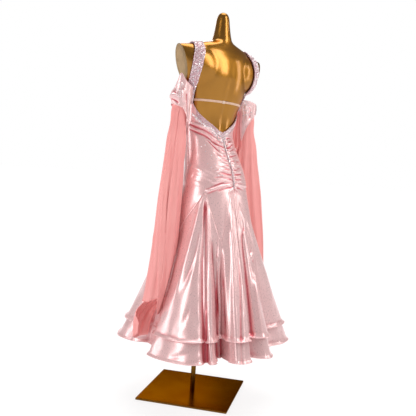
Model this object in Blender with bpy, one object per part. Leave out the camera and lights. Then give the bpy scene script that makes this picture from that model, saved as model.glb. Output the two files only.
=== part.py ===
"""Ballroom dance dress worn by a limbless dress form on a pole and a square base plate.

Metres, +Z up.  The origin is the centre of the base plate's underside.  The dress's front
faces -Y, its back +Y, and the wearer's left is +X.  Angles are in degrees about the
vertical axis: 0 is the wearer's left side, 90 the centre back, 270 the centre front.
"""
import math

import bmesh
import bpy
from mathutils import Vector
from mathutils.bvhtree import BVHTree

for existing in list(bpy.data.objects):
    bpy.data.objects.remove(existing, do_unlink=True)

# Base and pole
PLATE_SIDE = 0.400
PLATE_THICKNESS = 0.009
PLATE_TURN = 34.3
PLATE_EDGE_ROUND = 0.0015
POLE_RADIUS = 0.0105
POLE_SIDES = 20

# Cloth
CLOTH_EASE = 0.0030
CLOTH_WALL = 0.0020
CHIFFON_WALL = 0.0015
SEAM_GAP = 0.0004
LAID_ON_GAP = 0.0005
BAND_GAP = 0.0009

# Heights that the dress is cut to
FLARE_TOP = 0.930
SKIRT_HEM = 0.335
BAND_HEM = 0.260
BAND_TOP = 0.372
HEM_RADIUS = 0.350
HEM_CENTRE_Y = 0.040
FLARE_POWER = 1.15
SKIRT_KICK = 0.007
BAND_KICK = 0.005
KICK_HEIGHT = 0.022

# The form's sections: height, half width, front y, back y, y of the widest line
FORM_LEVELS = (
    (0.800, 0.136, -0.034, 0.156, 0.062),
    (0.860, 0.146, -0.042, 0.172, 0.066),
    (0.930, 0.149, -0.046, 0.176, 0.066),
    (1.000, 0.138, -0.055, 0.160, 0.055),
    (1.060, 0.126, -0.064, 0.128, 0.035),
    (1.120, 0.118, -0.072, 0.098, 0.015),
    (1.165, 0.116, -0.078, 0.083, 0.008),
    (1.220, 0.121, -0.090, 0.086, 0.014),
    (1.290, 0.134, -0.108, 0.104, 0.028),
    (1.350, 0.148, -0.110, 0.120, 0.040),
    (1.410, 0.156, -0.092, 0.128, 0.045),
    (1.460, 0.160, -0.062, 0.124, 0.046),
    (1.500, 0.160, -0.030, 0.112, 0.047),
    (1.518, 0.148, -0.015, 0.104, 0.048),
    (1.533, 0.112, -0.004, 0.098, 0.048),
    (1.545, 0.068, 0.002, 0.094, 0.048),
    (1.556, 0.0445, 0.004, 0.092, 0.048),
    (1.590, 0.0360, 0.012, 0.084, 0.048),
    (1.620, 0.0315, 0.016, 0.079, 0.048),
    (1.655, 0.0265, 0.021, 0.074, 0.048),
    (1.670, 0.0190, 0.029, 0.067, 0.048),
    (1.678, 0.0060, 0.042, 0.054, 0.048),
)
# The shoulders' sections: distance out, centre y, centre z, half depth, half height
SHOULDER_LEVELS = (
    (0.000, 0.046, 1.430, 0.072, 0.096),
    (0.100, 0.046, 1.430, 0.070, 0.094),
    (0.145, 0.046, 1.431, 0.062, 0.087),
    (0.180, 0.046, 1.432, 0.048, 0.080),
    (0.202, 0.045, 1.433, 0.038, 0.075),
    (0.214, 0.044, 1.434, 0.033, 0.072),
)
SHOULDER_LEAN = 0.30
SHOULDER_SIDES = 24
FORM_SIDES = 36
SPINE_DEPTH = 0.006
SPINE_WIDTH = 9.0
SPINE_HEIGHT = 1.25
SPINE_REACH = 0.14

# Upper edge of the dress's body: angle, height (the other side mirrors it)
TOP_EDGE = (
    (-90.0, 1.300),
    (-75.0, 1.330),
    (-55.0, 1.372),
    (-38.0, 1.370),
    (-18.0, 1.334),
    (-5.0, 1.322),
    (3.0, 1.292),
    (10.0, 1.262),
    (22.0, 1.232),
    (40.0, 1.206),
    (60.0, 1.186),
    (76.0, 1.172),
    (90.0, 1.165),
)

# Seam between the body and the godets: angle at the hip, height, alternating points and tops
YOKE_LINE = (
    (-5.0, 0.700),
    (30.0, 0.909),
    (60.5, 0.709),
    (79.0, 0.914),
    (90.0, 0.794),
    (102.5, 0.872),
    (121.0, 0.709),
    (150.0, 0.909),
    (185.0, 0.700),
    (214.0, 0.905),
    (241.0, 0.710),
    (257.0, 0.910),
    (270.0, 0.780),
    (283.0, 0.910),
    (299.0, 0.710),
    (325.0, 0.905),
)
# Columns of the body's panels, which the godets' upper edges follow
SEAM_COLUMNS = [
    -5.0, 4.0, 14.0, 22.0, 30.0, 36.0, 42.0, 51.0, 60.5, 70.0, 79.0, 83.0, 86.0, 90.0,
    94.0, 97.0, 102.5, 108.0, 115.0, 121.0, 127.0, 133.0, 141.5, 150.0, 158.0, 165.0, 176.0,
    185.0, 199.0, 214.0, 228.0, 241.0, 257.0, 270.0, 283.0, 299.0, 311.0, 325.0, 341.0,
]
GODET_SEAMS = (-5.0, 60.5, 90.0, 121.0, 185.0, 241.0, 270.0, 299.0, 355.0)
# Places of the godets' rows, from the yoke seam (0) to the hem (1)
GODET_SHARES = (0.0, 0.10, 0.24, 0.40, 0.56, 0.72, 0.86, 0.955, 1.0)
BAND_SEAMS = (-5.0, 90.0, 185.0, 270.0, 355.0)
# Widest step between the skirt's columns
FOLD_STEP = 6.5

# Skirt folds: angle at the hip, angle at the hem, height where the fold starts,
# how far the fold line stands out of the mean hem circle (ridges plus, troughs minus)
FOLDS = (
    (-5.0, -9.0, 0.860, -0.088),
    (4.0, 4.0, 0.840, -0.080),
    (14.0, 14.0, 0.450, 0.021),
    (22.0, 28.0, 0.890, 0.044),
    (27.0, 40.0, 0.905, 0.055),
    (30.0, 48.0, 0.909, 0.042),
    (32.5, 51.5, 0.909, 0.008),
    (36.0, 54.5, 0.905, 0.032),
    (42.0, 57.5, 0.890, 0.018),
    (54.0, 60.5, 0.760, -0.058),
    (58.0, 62.3, 0.720, -0.050),
    (60.5, 64.0, 0.709, -0.078),
    (64.0, 66.5, 0.750, 0.006),
    (79.0, 72.5, 0.914, 0.036),
    (86.0, 79.5, 0.860, 0.027),
    (90.0, 84.3, 0.794, -0.030),
    (97.0, 90.8, 0.840, 0.010),
    (102.5, 96.0, 0.870, 0.024),
    (108.0, 102.0, 0.860, 0.008),
    (115.0, 113.0, 0.800, -0.058),
    (121.0, 122.0, 0.709, -0.045),
    (133.0, 134.0, 0.800, 0.008),
    (150.0, 148.0, 0.780, 0.044),
    (165.0, 163.0, 0.780, 0.026),
    (176.0, 177.0, 0.840, -0.055),
    (185.0, 187.0, 0.860, -0.070),
    (199.0, 199.0, 0.870, -0.010),
    (214.0, 214.0, 0.905, 0.030),
    (228.0, 229.0, 0.850, 0.020),
    (241.0, 241.0, 0.710, -0.055),
    (257.0, 256.0, 0.910, 0.035),
    (270.0, 270.0, 0.780, -0.045),
    (283.0, 284.0, 0.910, 0.035),
    (299.0, 299.0, 0.710, -0.055),
    (311.0, 311.0, 0.850, 0.015),
    (325.0, 324.0, 0.450, 0.016),
    (341.0, 340.0, 0.870, -0.026),
)

# Gathers each side of the centre-back seam: place down the panel (0 top, 1 bottom),
# height of the ridge, how far round the panel it runs (degrees)
GATHERS = (
    (0.1370, 0.0045, 34.0),
    (0.1940, 0.0085, 52.0),
    (0.2510, 0.0075, 46.0),
    (0.3080, 0.0045, 30.0),
    (0.3650, 0.0045, 26.0),
    (0.4220, 0.0045, 30.0),
    (0.4790, 0.0050, 26.0),
    (0.5360, 0.0055, 34.0),
    (0.5930, 0.0060, 40.0),
    (0.6500, 0.0060, 34.0),
    (0.7070, 0.0050, 28.0),
)
# Half a gather's pitch, and the turn from the seam where the gathers start and are full
GATHER_STEP = 0.0285
GATHER_CLEAR = 3.5
GATHER_FULL = 8.0
# Place down the panel that lies at the hip line, and the hip line's height
HIP_SHARE = 0.7355
HIP_LINE = 0.930

# Shoulder straps: the centre line from the side back over the shoulder to the front
STRAP_PATH = (
    (0.140, 0.026, 1.275),
    (0.143, 0.033, 1.300),
    (0.151, 0.046, 1.333),
    (0.164, 0.068, 1.372),
    (0.170, 0.086, 1.405),
    (0.169, 0.094, 1.438),
    (0.163, 0.094, 1.472),
    (0.154, 0.080, 1.505),
    (0.147, 0.052, 1.526),
    (0.143, 0.016, 1.520),
    (0.137, -0.018, 1.490),
    (0.128, -0.052, 1.440),
    (0.116, -0.080, 1.395),
    (0.106, -0.094, 1.360),
)
# Width of the strap: at its back end, its top and its front end
STRAP_WIDTHS = (0.030, 0.046, 0.036)
STRAP_COLUMNS = (-0.5, -0.17, 0.17, 0.5)
STRAP_WALL = 0.0022
STRAP_LIFT = 0.0050
STRAP_END_LIFT = CLOTH_EASE + CLOTH_WALL + 0.0022
STRAP_ENDS = 3.0

# Elastic band across the open back, with its slider
ELASTIC_HEIGHT = 1.291
ELASTIC_WIDTH = 0.009
ELASTIC_WALL = 0.0010
ELASTIC_LIFT = 0.0014
ELASTIC_SPAN = (-1.5, 181.5)
SLIDER_ANGLE = 76.0
SLIDER_WIDTH = 0.011
SLIDER_WALL = 0.0008
SLIDER_CLEARANCE = 0.0005

# Beaded bands on the back edge and the centre-back trim
EDGE_BAND_WIDTH = 0.024
EDGE_SHARE = 0.080
TRIM_HALF_WIDTH = 0.0045
TRIM_WALL = 0.0016
TRIM_RADIUS = 0.080
TRIM_HEAD = 0.090
TRIM_FOOT = 0.740

# Off-shoulder sleeves: centre, sections (height, half width, half depth), edges by angle
SLEEVE_X = 0.200
SLEEVE_Y = 0.035
SLEEVE_GAP = 0.0070
# height, half width outward, half depth, half width towards the body
SLEEVE_LEVELS = (
    (1.140, 0.034, 0.034, 0.044),
    (1.200, 0.036, 0.034, 0.046),
    (1.262, 0.038, 0.034, 0.048),
    (1.292, 0.040, 0.036, 0.056),
    (1.320, 0.036, 0.038, 0.060),
    (1.390, 0.032, 0.038, 0.060),
)
# The outer corner's point: how far it stands out, its height, its reach up and round
SLEEVE_TIP = 0.015
SLEEVE_TIP_HEIGHT = 1.290
SLEEVE_TIP_SPREAD = 0.018
SLEEVE_TIP_ANGLE = 26.0
# angle about the sleeve (0 outward, 90 back, 180 body side), top height, bottom height
SLEEVE_EDGES_LEFT = (
    (0.0, 1.322, 1.262),
    (22.0, 1.352, 1.258),
    (45.0, 1.386, 1.254),
    (75.0, 1.362, 1.246),
    (105.0, 1.346, 1.215),
    (140.0, 1.336, 1.160),
    (170.0, 1.330, 1.140),
    (205.0, 1.326, 1.180),
    (250.0, 1.316, 1.240),
    (310.0, 1.306, 1.258),
)
SLEEVE_EDGES_RIGHT = (
    (0.0, 1.302, 1.262),
    (30.0, 1.303, 1.252),
    (60.0, 1.308, 1.232),
    (90.0, 1.314, 1.196),
    (120.0, 1.320, 1.158),
    (150.0, 1.323, 1.140),
    (180.0, 1.324, 1.158),
    (215.0, 1.320, 1.204),
    (250.0, 1.312, 1.240),
    (310.0, 1.304, 1.258),
)

# Chiffon floats: height, centre x, centre y, long half, short half, turn of the long axis
FLOAT_LEVELS = (
    (0.260, 0.300, 0.030, 0.070, 0.046, 40.0),
    (0.330, 0.304, 0.028, 0.074, 0.050, 40.0),
    (0.400, 0.302, 0.034, 0.074, 0.050, 40.0),
    (0.460, 0.286, 0.055, 0.066, 0.051, 40.0),
    (0.550, 0.274, 0.061, 0.063, 0.053, 40.0),
    (0.700, 0.252, 0.056, 0.072, 0.048, 34.0),
    (0.866, 0.231, 0.045, 0.079, 0.040, 27.0),
    (1.000, 0.220, 0.042, 0.066, 0.036, 25.0),
    (1.120, 0.213, 0.037, 0.042, 0.033, 20.0),
    (1.200, 0.207, 0.034, 0.030, 0.027, 10.0),
    (1.262, 0.205, 0.035, 0.036, 0.031, 0.0),
)
# The right floats hang a little nearer the body than the left
FLOAT_RIGHT_DRAWN_IN = 0.0095
FLOAT_INWARD = 0.011
# Heights: upper edge inside the sleeve, sewn line, start of the join, hanging free below
FLOAT_TOP = 1.272
FLOAT_SEWN = 1.258
FLOAT_JOIN = 1.215
FLOAT_FREE = 1.135
FLOAT_FREE_SPAN = 0.12
FLOAT_JOIN_GAP = 0.0025
FLOAT_FRONT_GAP = 0.0010
FLOAT_FRONT_ANGLE = 240.0
FLOAT_WAVE_DEPTH = 0.0070
FLOAT_WAVE_RISE = 0.25
# Wave depth at most, as a share of the step between columns
FLOAT_WAVE_LIMIT = 0.36
# Samples along a row, and how far along it the cloth is rounded off
FLOAT_SAMPLES = 72
FLOAT_SOFT = 0.026
FLOAT_SHARES = (0.0, 0.02, 0.06, 0.13, 0.28, 0.46, 0.66, 0.855, 0.93, 1.0)
# Heights between which the under panel is set in, and those where the panels lean inward
INSET_TOP = 1.10
INSET_TOP_SPAN = 0.20
INSET_FOOT = 0.40
INSET_FOOT_SPAN = 0.06
PULL_TOP_SPAN = 0.05
PULL_FOOT = 1.02
PULL_FOOT_SPAN = 0.08
# height, clearance from the skirt's cloth to the middle of the gathers
FLOAT_CLEARANCES = (
    (0.260, 0.0190),
    (0.360, 0.0190),
    (0.420, 0.0104),
    (1.100, 0.0072),
    (1.215, 0.0045),
    (1.262, 0.0045),
)
# name, first angle, last angle at the top, last angle at the foot, inset, foot at the
# first edge, foot in the middle, foot at the last edge, waves
FLOATS = (
    ("outer", -59.0, 57.0, 57.0, 0.000, 0.460, 0.455, 0.480, 6),
    ("inner", 61.0, 174.0, 174.0, 0.000, 0.470, 0.395, 0.480, 6),
    ("under", 186.0, 295.0, 382.0, 0.010, 0.300, 0.285, 0.330, 8),
)
UNDER_SPREAD_TOP = 0.440
UNDER_SPREAD_FOOT = 0.368


# ---------------------------------------------------------------------------
# Tables and curves
# ---------------------------------------------------------------------------

def monotone_slopes(keys, values):
    """Slopes of a smooth curve through the points that never overshoots them."""
    steps = [
        (values[i + 1] - values[i]) / (keys[i + 1] - keys[i]) for i in range(len(keys) - 1)
    ]
    slopes = [steps[0]]
    for before, after in zip(steps, steps[1:]):
        if before * after <= 0.0:
            slopes.append(0.0)
        else:
            slopes.append(2.0 * before * after / (before + after))
    slopes.append(steps[-1])
    return slopes


def curve_value(keys, values, key):
    """Value of the smooth curve through the points at the key."""
    slopes = monotone_slopes(keys, values)
    key = min(max(key, keys[0]), keys[-1])
    i = 0
    while i < len(keys) - 2 and key > keys[i + 1]:
        i += 1
    span = keys[i + 1] - keys[i]
    s = (key - keys[i]) / span
    return (
        (1 + 2 * s) * (1 - s) ** 2 * values[i]
        + s * (1 - s) ** 2 * span * slopes[i]
        + s * s * (3 - 2 * s) * values[i + 1]
        + s * s * (s - 1) * span * slopes[i + 1]
    )


def table_value(table, column, key):
    return curve_value([row[0] for row in table], [row[column] for row in table], key)


def ease(value):
    value = min(max(value, 0.0), 1.0)
    return value * value * (3.0 - 2.0 * value)


def mix(first, last, share):
    return first + (last - first) * share


def linear_value(table, key):
    """Value on the straight lines through the (key, value) rows."""
    for (key_a, value_a), (key_b, value_b) in zip(table, table[1:]):
        if key_a <= key <= key_b and key_a < key_b:
            return mix(value_a, value_b, (key - key_a) / (key_b - key_a))
    return table[-1][1]


# ---------------------------------------------------------------------------
# Surfaces of the form and of the dress
# ---------------------------------------------------------------------------

def centre_y(z):
    if z >= FLARE_TOP:
        return table_value(FORM_LEVELS, 4, z)
    share = (FLARE_TOP - z) / (FLARE_TOP - BAND_HEM)
    return mix(table_value(FORM_LEVELS, 4, FLARE_TOP), HEM_CENTRE_Y, share)


def trunk_radius(angle, z):
    """Radius of the form's trunk about its widest line."""
    turn = math.radians(angle)
    half_width = table_value(FORM_LEVELS, 1, z)
    middle = table_value(FORM_LEVELS, 4, z)
    if math.sin(turn) >= 0.0:
        half_depth = table_value(FORM_LEVELS, 3, z) - middle
    else:
        half_depth = middle - table_value(FORM_LEVELS, 2, z)
    return 1.0 / math.hypot(math.cos(turn) / half_width, math.sin(turn) / half_depth)


def form_radius(angle, z):
    """Trunk with the shallow hollow of the spine."""
    away = (angle - 90.0) / SPINE_WIDTH
    height = (z - SPINE_HEIGHT) / SPINE_REACH
    return trunk_radius(angle, z) - SPINE_DEPTH * math.exp(-away * away - height * height)


def fold_lines(z):
    """Angle and stand-out of every fold line at a height, once round and a bit more."""
    share = min(max((FLARE_TOP - z) / (FLARE_TOP - BAND_HEM), 0.0), 1.0)
    lines = []
    for hip_angle, hem_angle, start, stand_out in FOLDS:
        growth = max(start - z, 0.0) / (start - BAND_HEM)
        lines.append((mix(hip_angle, hem_angle, share), stand_out * growth))
    before = [(angle - 360.0, value) for angle, value in lines[-2:]]
    after = [(angle + 360.0, value) for angle, value in lines[:2]]
    return before + lines + after


def hem_angle_of(hip_angle, z):
    """Where a line that leaves the hip at one angle has turned to at a height."""
    share = min(max((FLARE_TOP - z) / (FLARE_TOP - BAND_HEM), 0.0), 1.0)
    rows = [(row[0], row[1] - row[0]) for row in FOLDS]
    rows = [(a - 360.0, s) for a, s in rows[-2:]] + rows + [(a + 360.0, s) for a, s in rows[:2]]
    shift = curve_value([a for a, s in rows], [s for a, s in rows], hip_angle)
    return hip_angle + shift * share


def dress_radius(angle, z):
    """Radius of the worn surface, before the cloth's ease."""
    if z >= FLARE_TOP:
        return trunk_radius(angle, z)
    share = (FLARE_TOP - z) / (FLARE_TOP - BAND_HEM)
    hip = trunk_radius(angle, FLARE_TOP)
    lines = fold_lines(z)
    while angle < lines[0][0]:
        angle += 360.0
    while angle > lines[-1][0]:
        angle -= 360.0
    folds = curve_value([a for a, v in lines], [v for a, v in lines], angle)
    return hip + (HEM_RADIUS - hip) * share ** FLARE_POWER + folds


def dress_point(hip_angle, z):
    """Inner face of the dress's cloth."""
    angle = hem_angle_of(hip_angle, z)
    radius = dress_radius(angle, z) + CLOTH_EASE
    turn = math.radians(angle)
    return Vector((radius * math.cos(turn), centre_y(z) + radius * math.sin(turn), z))


def outward(surface, u, v, step_u, step_v):
    """Unit normal of a surface, on the side away from its axis."""
    along_u = surface(u + step_u, v) - surface(u - step_u, v)
    along_v = surface(u, v + step_v) - surface(u, v - step_v)
    return along_u.cross(along_v).normalized()


def dress_normal(hip_angle, z):
    return outward(dress_point, hip_angle, z, 0.4, 0.004)


def top_edge(angle):
    """Height of the body's upper edge, the same on both sides."""
    angle = (angle + 90.0) % 360.0 - 90.0
    if angle > 90.0:
        angle = 180.0 - angle
    return table_value(TOP_EDGE, 1, angle)


def yoke_line(angle):
    rows = list(YOKE_LINE) + [(YOKE_LINE[0][0] + 360.0, YOKE_LINE[0][1])]
    while angle < rows[0][0]:
        angle += 360.0
    while angle > rows[-1][0]:
        angle -= 360.0
    return linear_value(rows, angle)


def seam_allowance(angle):
    """Upright half gap that keeps the seam's true gap on its steep stretches."""
    step = 0.5
    here = yoke_line(angle)
    rise = max(abs(yoke_line(angle + step) - here), abs(yoke_line(angle - step) - here))
    run = math.radians(step) * trunk_radius(angle, FLARE_TOP)
    return SEAM_GAP * 0.5 * math.hypot(1.0, rise / run)


def seam_point(angle, side):
    """Inner face and normal on the yoke seam, straight between the seam's columns."""
    turned = (angle - SEAM_COLUMNS[0]) % 360.0 + SEAM_COLUMNS[0]
    columns = SEAM_COLUMNS + [SEAM_COLUMNS[0] + 360.0]
    i = 0
    while i < len(columns) - 2 and turned > columns[i + 1]:
        i += 1
    ends = []
    for column in columns[i:i + 2]:
        z = yoke_line(column) + side * seam_allowance(column)
        ends.append((dress_point(column, z), dress_normal(column, z)))
    share = (turned - columns[i]) / (columns[i + 1] - columns[i])
    base = ends[0][0].lerp(ends[1][0], share)
    return base, ends[0][1].lerp(ends[1][1], share).normalized()


# ---------------------------------------------------------------------------
# Objects
# ---------------------------------------------------------------------------

def make_material(name, colour, roughness, metallic=0.0):
    material = bpy.data.materials.new(name)
    material.use_nodes = True
    shader = material.node_tree.nodes["Principled BSDF"]
    shader.inputs["Base Color"].default_value = (*colour, 1.0)
    shader.inputs["Roughness"].default_value = roughness
    shader.inputs["Metallic"].default_value = metallic
    return material


def add_object(name, points, faces, material):
    mesh = bpy.data.meshes.new(name)
    mesh.from_pydata(points, [], faces)
    shape = bmesh.new()
    shape.from_mesh(mesh)
    bmesh.ops.recalc_face_normals(shape, faces=shape.faces)
    shape.to_mesh(mesh)
    shape.free()
    mesh.shade_smooth()
    mesh.set_sharp_from_angle(angle=math.radians(40.0))
    mesh.materials.append(material)
    thing = bpy.data.objects.new(name, mesh)
    bpy.context.collection.objects.link(thing)
    return thing


def wall_between(name, outer, inner, material, closed=False):
    """Closed wall between two grids of points; closed joins the last column to the first."""
    rows = len(outer)
    columns = len(outer[0])
    points = [p for row in outer for p in row] + [p for row in inner for p in row]
    offset = rows * columns
    faces = []
    last = columns if closed else columns - 1
    for r in range(rows - 1):
        for c in range(last):
            d = (c + 1) % columns
            a, b = r * columns + c, r * columns + d
            e, f = (r + 1) * columns + c, (r + 1) * columns + d
            faces += [(a, b, f), (a, f, e)]
            faces += [(offset + a, offset + f, offset + b), (offset + a, offset + e, offset + f)]
    rim = [(c, (c + 1) % columns) for c in range(last)]
    foot = (rows - 1) * columns
    for c, d in rim:
        faces += [(c, offset + d, d), (c, offset + c, offset + d)]
        faces += [
            (foot + c, foot + d, offset + foot + d),
            (foot + c, offset + foot + d, offset + foot + c),
        ]
    if not closed:
        for r in range(rows - 1):
            for c in (0, columns - 1):
                a, e = r * columns + c, (r + 1) * columns + c
                faces += [(a, e, offset + e), (a, offset + e, offset + a)]
    return add_object(name, points, faces, material)


# ---------------------------------------------------------------------------
# Dress form, pole and base plate
# ---------------------------------------------------------------------------

def loft_faces(rows, columns):
    """Faces of a closed loft of rings, with a cap at each end."""
    faces = []
    for r in range(rows - 1):
        for c in range(columns):
            d = (c + 1) % columns
            a, b = r * columns + c, r * columns + d
            e, f = a + columns, b + columns
            faces += [(a, b, f), (a, f, e)]
    faces.append(tuple(range(columns)))
    faces.append(tuple(range((rows - 1) * columns, rows * columns)))
    return faces


def build_shoulders(material):
    """Flat-ended round bar through both shoulders, which the trunk is joined to."""
    outer = SHOULDER_LEVELS[1:]
    sections = [(-row[0],) + row[1:] for row in reversed(outer)] + list(SHOULDER_LEVELS[:1])
    sections += list(outer)
    points = []
    for x, middle_y, middle_z, half_depth, half_height in sections:
        for i in range(SHOULDER_SIDES):
            turn = math.tau * (i + 0.5) / SHOULDER_SIDES
            rise = half_height * math.sin(turn)
            lean = 1.0 + SHOULDER_LEAN * rise / SHOULDER_LEVELS[-1][0]
            points.append((x * lean, middle_y + half_depth * math.cos(turn), middle_z + rise))
    shoulders = add_object("shoulders", points, loft_faces(len(sections), SHOULDER_SIDES), material)
    shoulders.hide_render = True
    shoulders.display_type = "WIRE"
    return shoulders


def build_form(material):
    heights = [row[0] for row in FORM_LEVELS] + [0.895, 1.030, 1.090, 1.255, 1.320, 1.380]
    heights.sort()
    angles = [mix(0.0, 360.0, i / FORM_SIDES) for i in range(FORM_SIDES)]
    points = []
    for z in heights:
        middle = table_value(FORM_LEVELS, 4, z)
        for angle in angles:
            radius = form_radius(angle, z)
            turn = math.radians(angle)
            points.append((radius * math.cos(turn), middle + radius * math.sin(turn), z))
    form = add_object("form_torso", points, loft_faces(len(heights), FORM_SIDES), material)
    join = form.modifiers.new("shoulders", "BOOLEAN")
    join.operation = "UNION"
    join.object = build_shoulders(material)
    return form


def faces_of(thing):
    """Search tree of an object's faces, modifiers included."""
    shape = thing.evaluated_get(bpy.context.evaluated_depsgraph_get())
    return BVHTree.FromPolygons(
        [v.co for v in shape.data.vertices], [tuple(p.vertices) for p in shape.data.polygons]
    )


def build_pole(material):
    foot = PLATE_THICKNESS + 0.0003
    head = FORM_LEVELS[0][0] - 0.0003
    shape = bmesh.new()
    bmesh.ops.create_cone(
        shape, cap_ends=True, segments=POLE_SIDES,
        radius1=POLE_RADIUS, radius2=POLE_RADIUS, depth=head - foot,
    )
    mesh = bpy.data.meshes.new("form_pole")
    shape.to_mesh(mesh)
    shape.free()
    mesh.shade_smooth()
    mesh.set_sharp_from_angle(angle=math.radians(40.0))
    mesh.materials.append(material)
    pole = bpy.data.objects.new("form_pole", mesh)
    pole.location = (0.0, 0.0, (head + foot) / 2)
    bpy.context.collection.objects.link(pole)


def build_base(material):
    shape = bmesh.new()
    bmesh.ops.create_cube(shape, size=1.0)
    bmesh.ops.scale(shape, vec=(PLATE_SIDE, PLATE_SIDE, PLATE_THICKNESS), verts=shape.verts)
    mesh = bpy.data.meshes.new("form_base")
    shape.to_mesh(mesh)
    shape.free()
    mesh.materials.append(material)
    base = bpy.data.objects.new("form_base", mesh)
    base.location = (0.0, 0.0, PLATE_THICKNESS / 2)
    base.rotation_euler = (0.0, 0.0, math.radians(PLATE_TURN))
    bpy.context.collection.objects.link(base)
    edge = base.modifiers.new("edge", "BEVEL")
    edge.width = PLATE_EDGE_ROUND
    edge.segments = 1
    edge.limit_method = "ANGLE"


# ---------------------------------------------------------------------------
# Body of the dress
# ---------------------------------------------------------------------------

def gather_lift(angle, share):
    """Height of the gathers on the back panels, straight rises between ridge and trough."""
    away = abs(angle - 90.0)
    lift = 0.0
    start = ease((away - GATHER_CLEAR) / (GATHER_FULL - GATHER_CLEAR))
    for place, height, reach in GATHERS:
        peak = max(0.0, 1.0 - abs(share - place) / GATHER_STEP)
        lift += height * peak * start * ease((reach - away) / (reach * 0.6))
    return lift


def panel_row(share, angle):
    """Height on a body panel: an even edge strip, the hip line, then down to the yoke line."""
    strip = top_edge(angle) - EDGE_BAND_WIDTH
    if share < EDGE_SHARE:
        return strip + EDGE_BAND_WIDTH * (1.0 - share / EDGE_SHARE)
    if share < HIP_SHARE:
        return mix(strip, HIP_LINE, (share - EDGE_SHARE) / (HIP_SHARE - EDGE_SHARE))
    foot = yoke_line(angle) + seam_allowance(angle)
    return mix(HIP_LINE, foot, (share - HIP_SHARE) / (1.0 - HIP_SHARE))


def back_rows():
    """Shares down the back panels: every ridge and trough, then even steps to the yoke."""
    rows = [0.0, EDGE_SHARE / 2, EDGE_SHARE, GATHERS[0][0] - GATHER_STEP]
    for place, height, reach in GATHERS:
        rows += [place, place + GATHER_STEP]
    return rows + [0.82, 0.91, 1.0]


def edge_shift(angle, first, last, radius):
    """Turn that takes a panel's first or last column half a gap in from its seam."""
    shift = math.degrees(SEAM_GAP * 0.5 / radius)
    if angle == first:
        return shift
    return -shift if angle == last else 0.0


def build_panel(name, first, last, lift, satin):
    """One panel of the body, from its upper edge to the yoke seam."""
    around = SEAM_COLUMNS + [SEAM_COLUMNS[0] + 360.0]
    angles = [a for a in around if first <= a <= last]
    outer, inner = [], []
    for share in back_rows():
        outer_row, inner_row = [], []
        for angle in angles:
            z = panel_row(share, angle)
            place = angle + edge_shift(angle, first, last, trunk_radius(angle, max(z, FLARE_TOP)))
            base = dress_point(place, z)
            normal = dress_normal(angle, z)
            inner_row.append(base)
            outer_row.append(base + normal * (CLOTH_WALL + lift(angle, share)))
        outer.append(outer_row)
        inner.append(inner_row)
    wall_between(name, outer, inner, satin)


def build_body(satin):
    build_panel("back_left", GODET_SEAMS[0], 90.0, gather_lift, satin)
    build_panel("back_right", 90.0, GODET_SEAMS[4], gather_lift, satin)
    build_panel("front", GODET_SEAMS[4], GODET_SEAMS[8], lambda angle, share: 0.0, satin)


# ---------------------------------------------------------------------------
# Skirt
# ---------------------------------------------------------------------------

def fold_columns(first, last):
    """Fold lines between two seams, with steps between those that stand far apart."""
    lines = [row[0] for row in FOLDS] + [row[0] + 360.0 for row in FOLDS[:1]]
    lines = sorted(set(lines + SEAM_COLUMNS))
    lines = [a for a in lines if first <= a <= last]
    columns = []
    for a, b in zip(lines, lines[1:]):
        count = max(1, round((b - a) / FOLD_STEP))
        columns += [mix(a, b, i / count) for i in range(count)]
    return columns + [lines[-1]]


def kick(z, hem, amount):
    """Outward turn of a stiffened hem."""
    return amount * max(0.0, 1.0 - (z - hem) / KICK_HEIGHT) ** 2


def build_godets(satin):
    for number, (first, last) in enumerate(zip(GODET_SEAMS, GODET_SEAMS[1:]), start=1):
        angles = fold_columns(first, last)
        outer, inner = [], []
        for share in GODET_SHARES:
            outer_row, inner_row = [], []
            for angle in angles:
                z = mix(yoke_line(angle) - seam_allowance(angle), SKIRT_HEM, share)
                radius = dress_radius(hem_angle_of(angle, z), z)
                place = angle + edge_shift(angle, first, last, radius)
                normal = dress_normal(angle, z)
                base = dress_point(place, z) + normal * kick(z, SKIRT_HEM, SKIRT_KICK)
                if share == 0.0:
                    base, normal = seam_point(place, -1.0)
                inner_row.append(base)
                outer_row.append(base + normal * CLOTH_WALL)
            outer.append(outer_row)
            inner.append(inner_row)
        wall_between("godet_%d" % number, outer, inner, satin)


def build_hem_bands(satin):
    """Hem of the under layer, sewn inside the skirt and standing out below it."""
    heights = (BAND_TOP, 0.352, SKIRT_HEM - 0.004, 0.300, BAND_HEM + 0.012, BAND_HEM)
    for number, (first, last) in enumerate(zip(BAND_SEAMS, BAND_SEAMS[1:]), start=1):
        angles = fold_columns(first, last)
        outer, inner = [], []
        for z in heights:
            depth = mix(BAND_GAP, 0.003, ease((BAND_TOP - z) / (BAND_TOP - SKIRT_HEM)))
            outer_row, inner_row = [], []
            for angle in angles:
                radius = dress_radius(hem_angle_of(angle, z), z)
                place = angle + edge_shift(angle, first, last, radius)
                normal = dress_normal(angle, z)
                base = dress_point(place, z) + normal * (kick(z, BAND_HEM, BAND_KICK) - depth)
                outer_row.append(base)
                inner_row.append(base - normal * CLOTH_WALL)
            outer.append(outer_row)
            inner.append(inner_row)
        wall_between("hem_band_%d" % number, outer, inner, satin)


# ---------------------------------------------------------------------------
# Straps, elastic and trims
# ---------------------------------------------------------------------------

def seat(point, lift, faces):
    """The point moved square to the form until it stands the lift off it."""
    nearest, normal, index, distance = faces.find_nearest(point)
    away = point - nearest
    if away.dot(normal) < 0.0 or away.length < 0.0005:
        away = normal
    return nearest + away.normalized() * lift


def strap_line(side):
    """Points along the strap's centre line, two to each span of its path."""
    keys = list(range(len(STRAP_PATH)))
    columns = [[row[axis] for row in STRAP_PATH] for axis in range(3)]
    line = []
    for i in range(2 * len(STRAP_PATH) - 1):
        x, y, z = [curve_value(keys, column, i / 2) for column in columns]
        line.append(Vector((side * x, y, z)))
    return line


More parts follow.
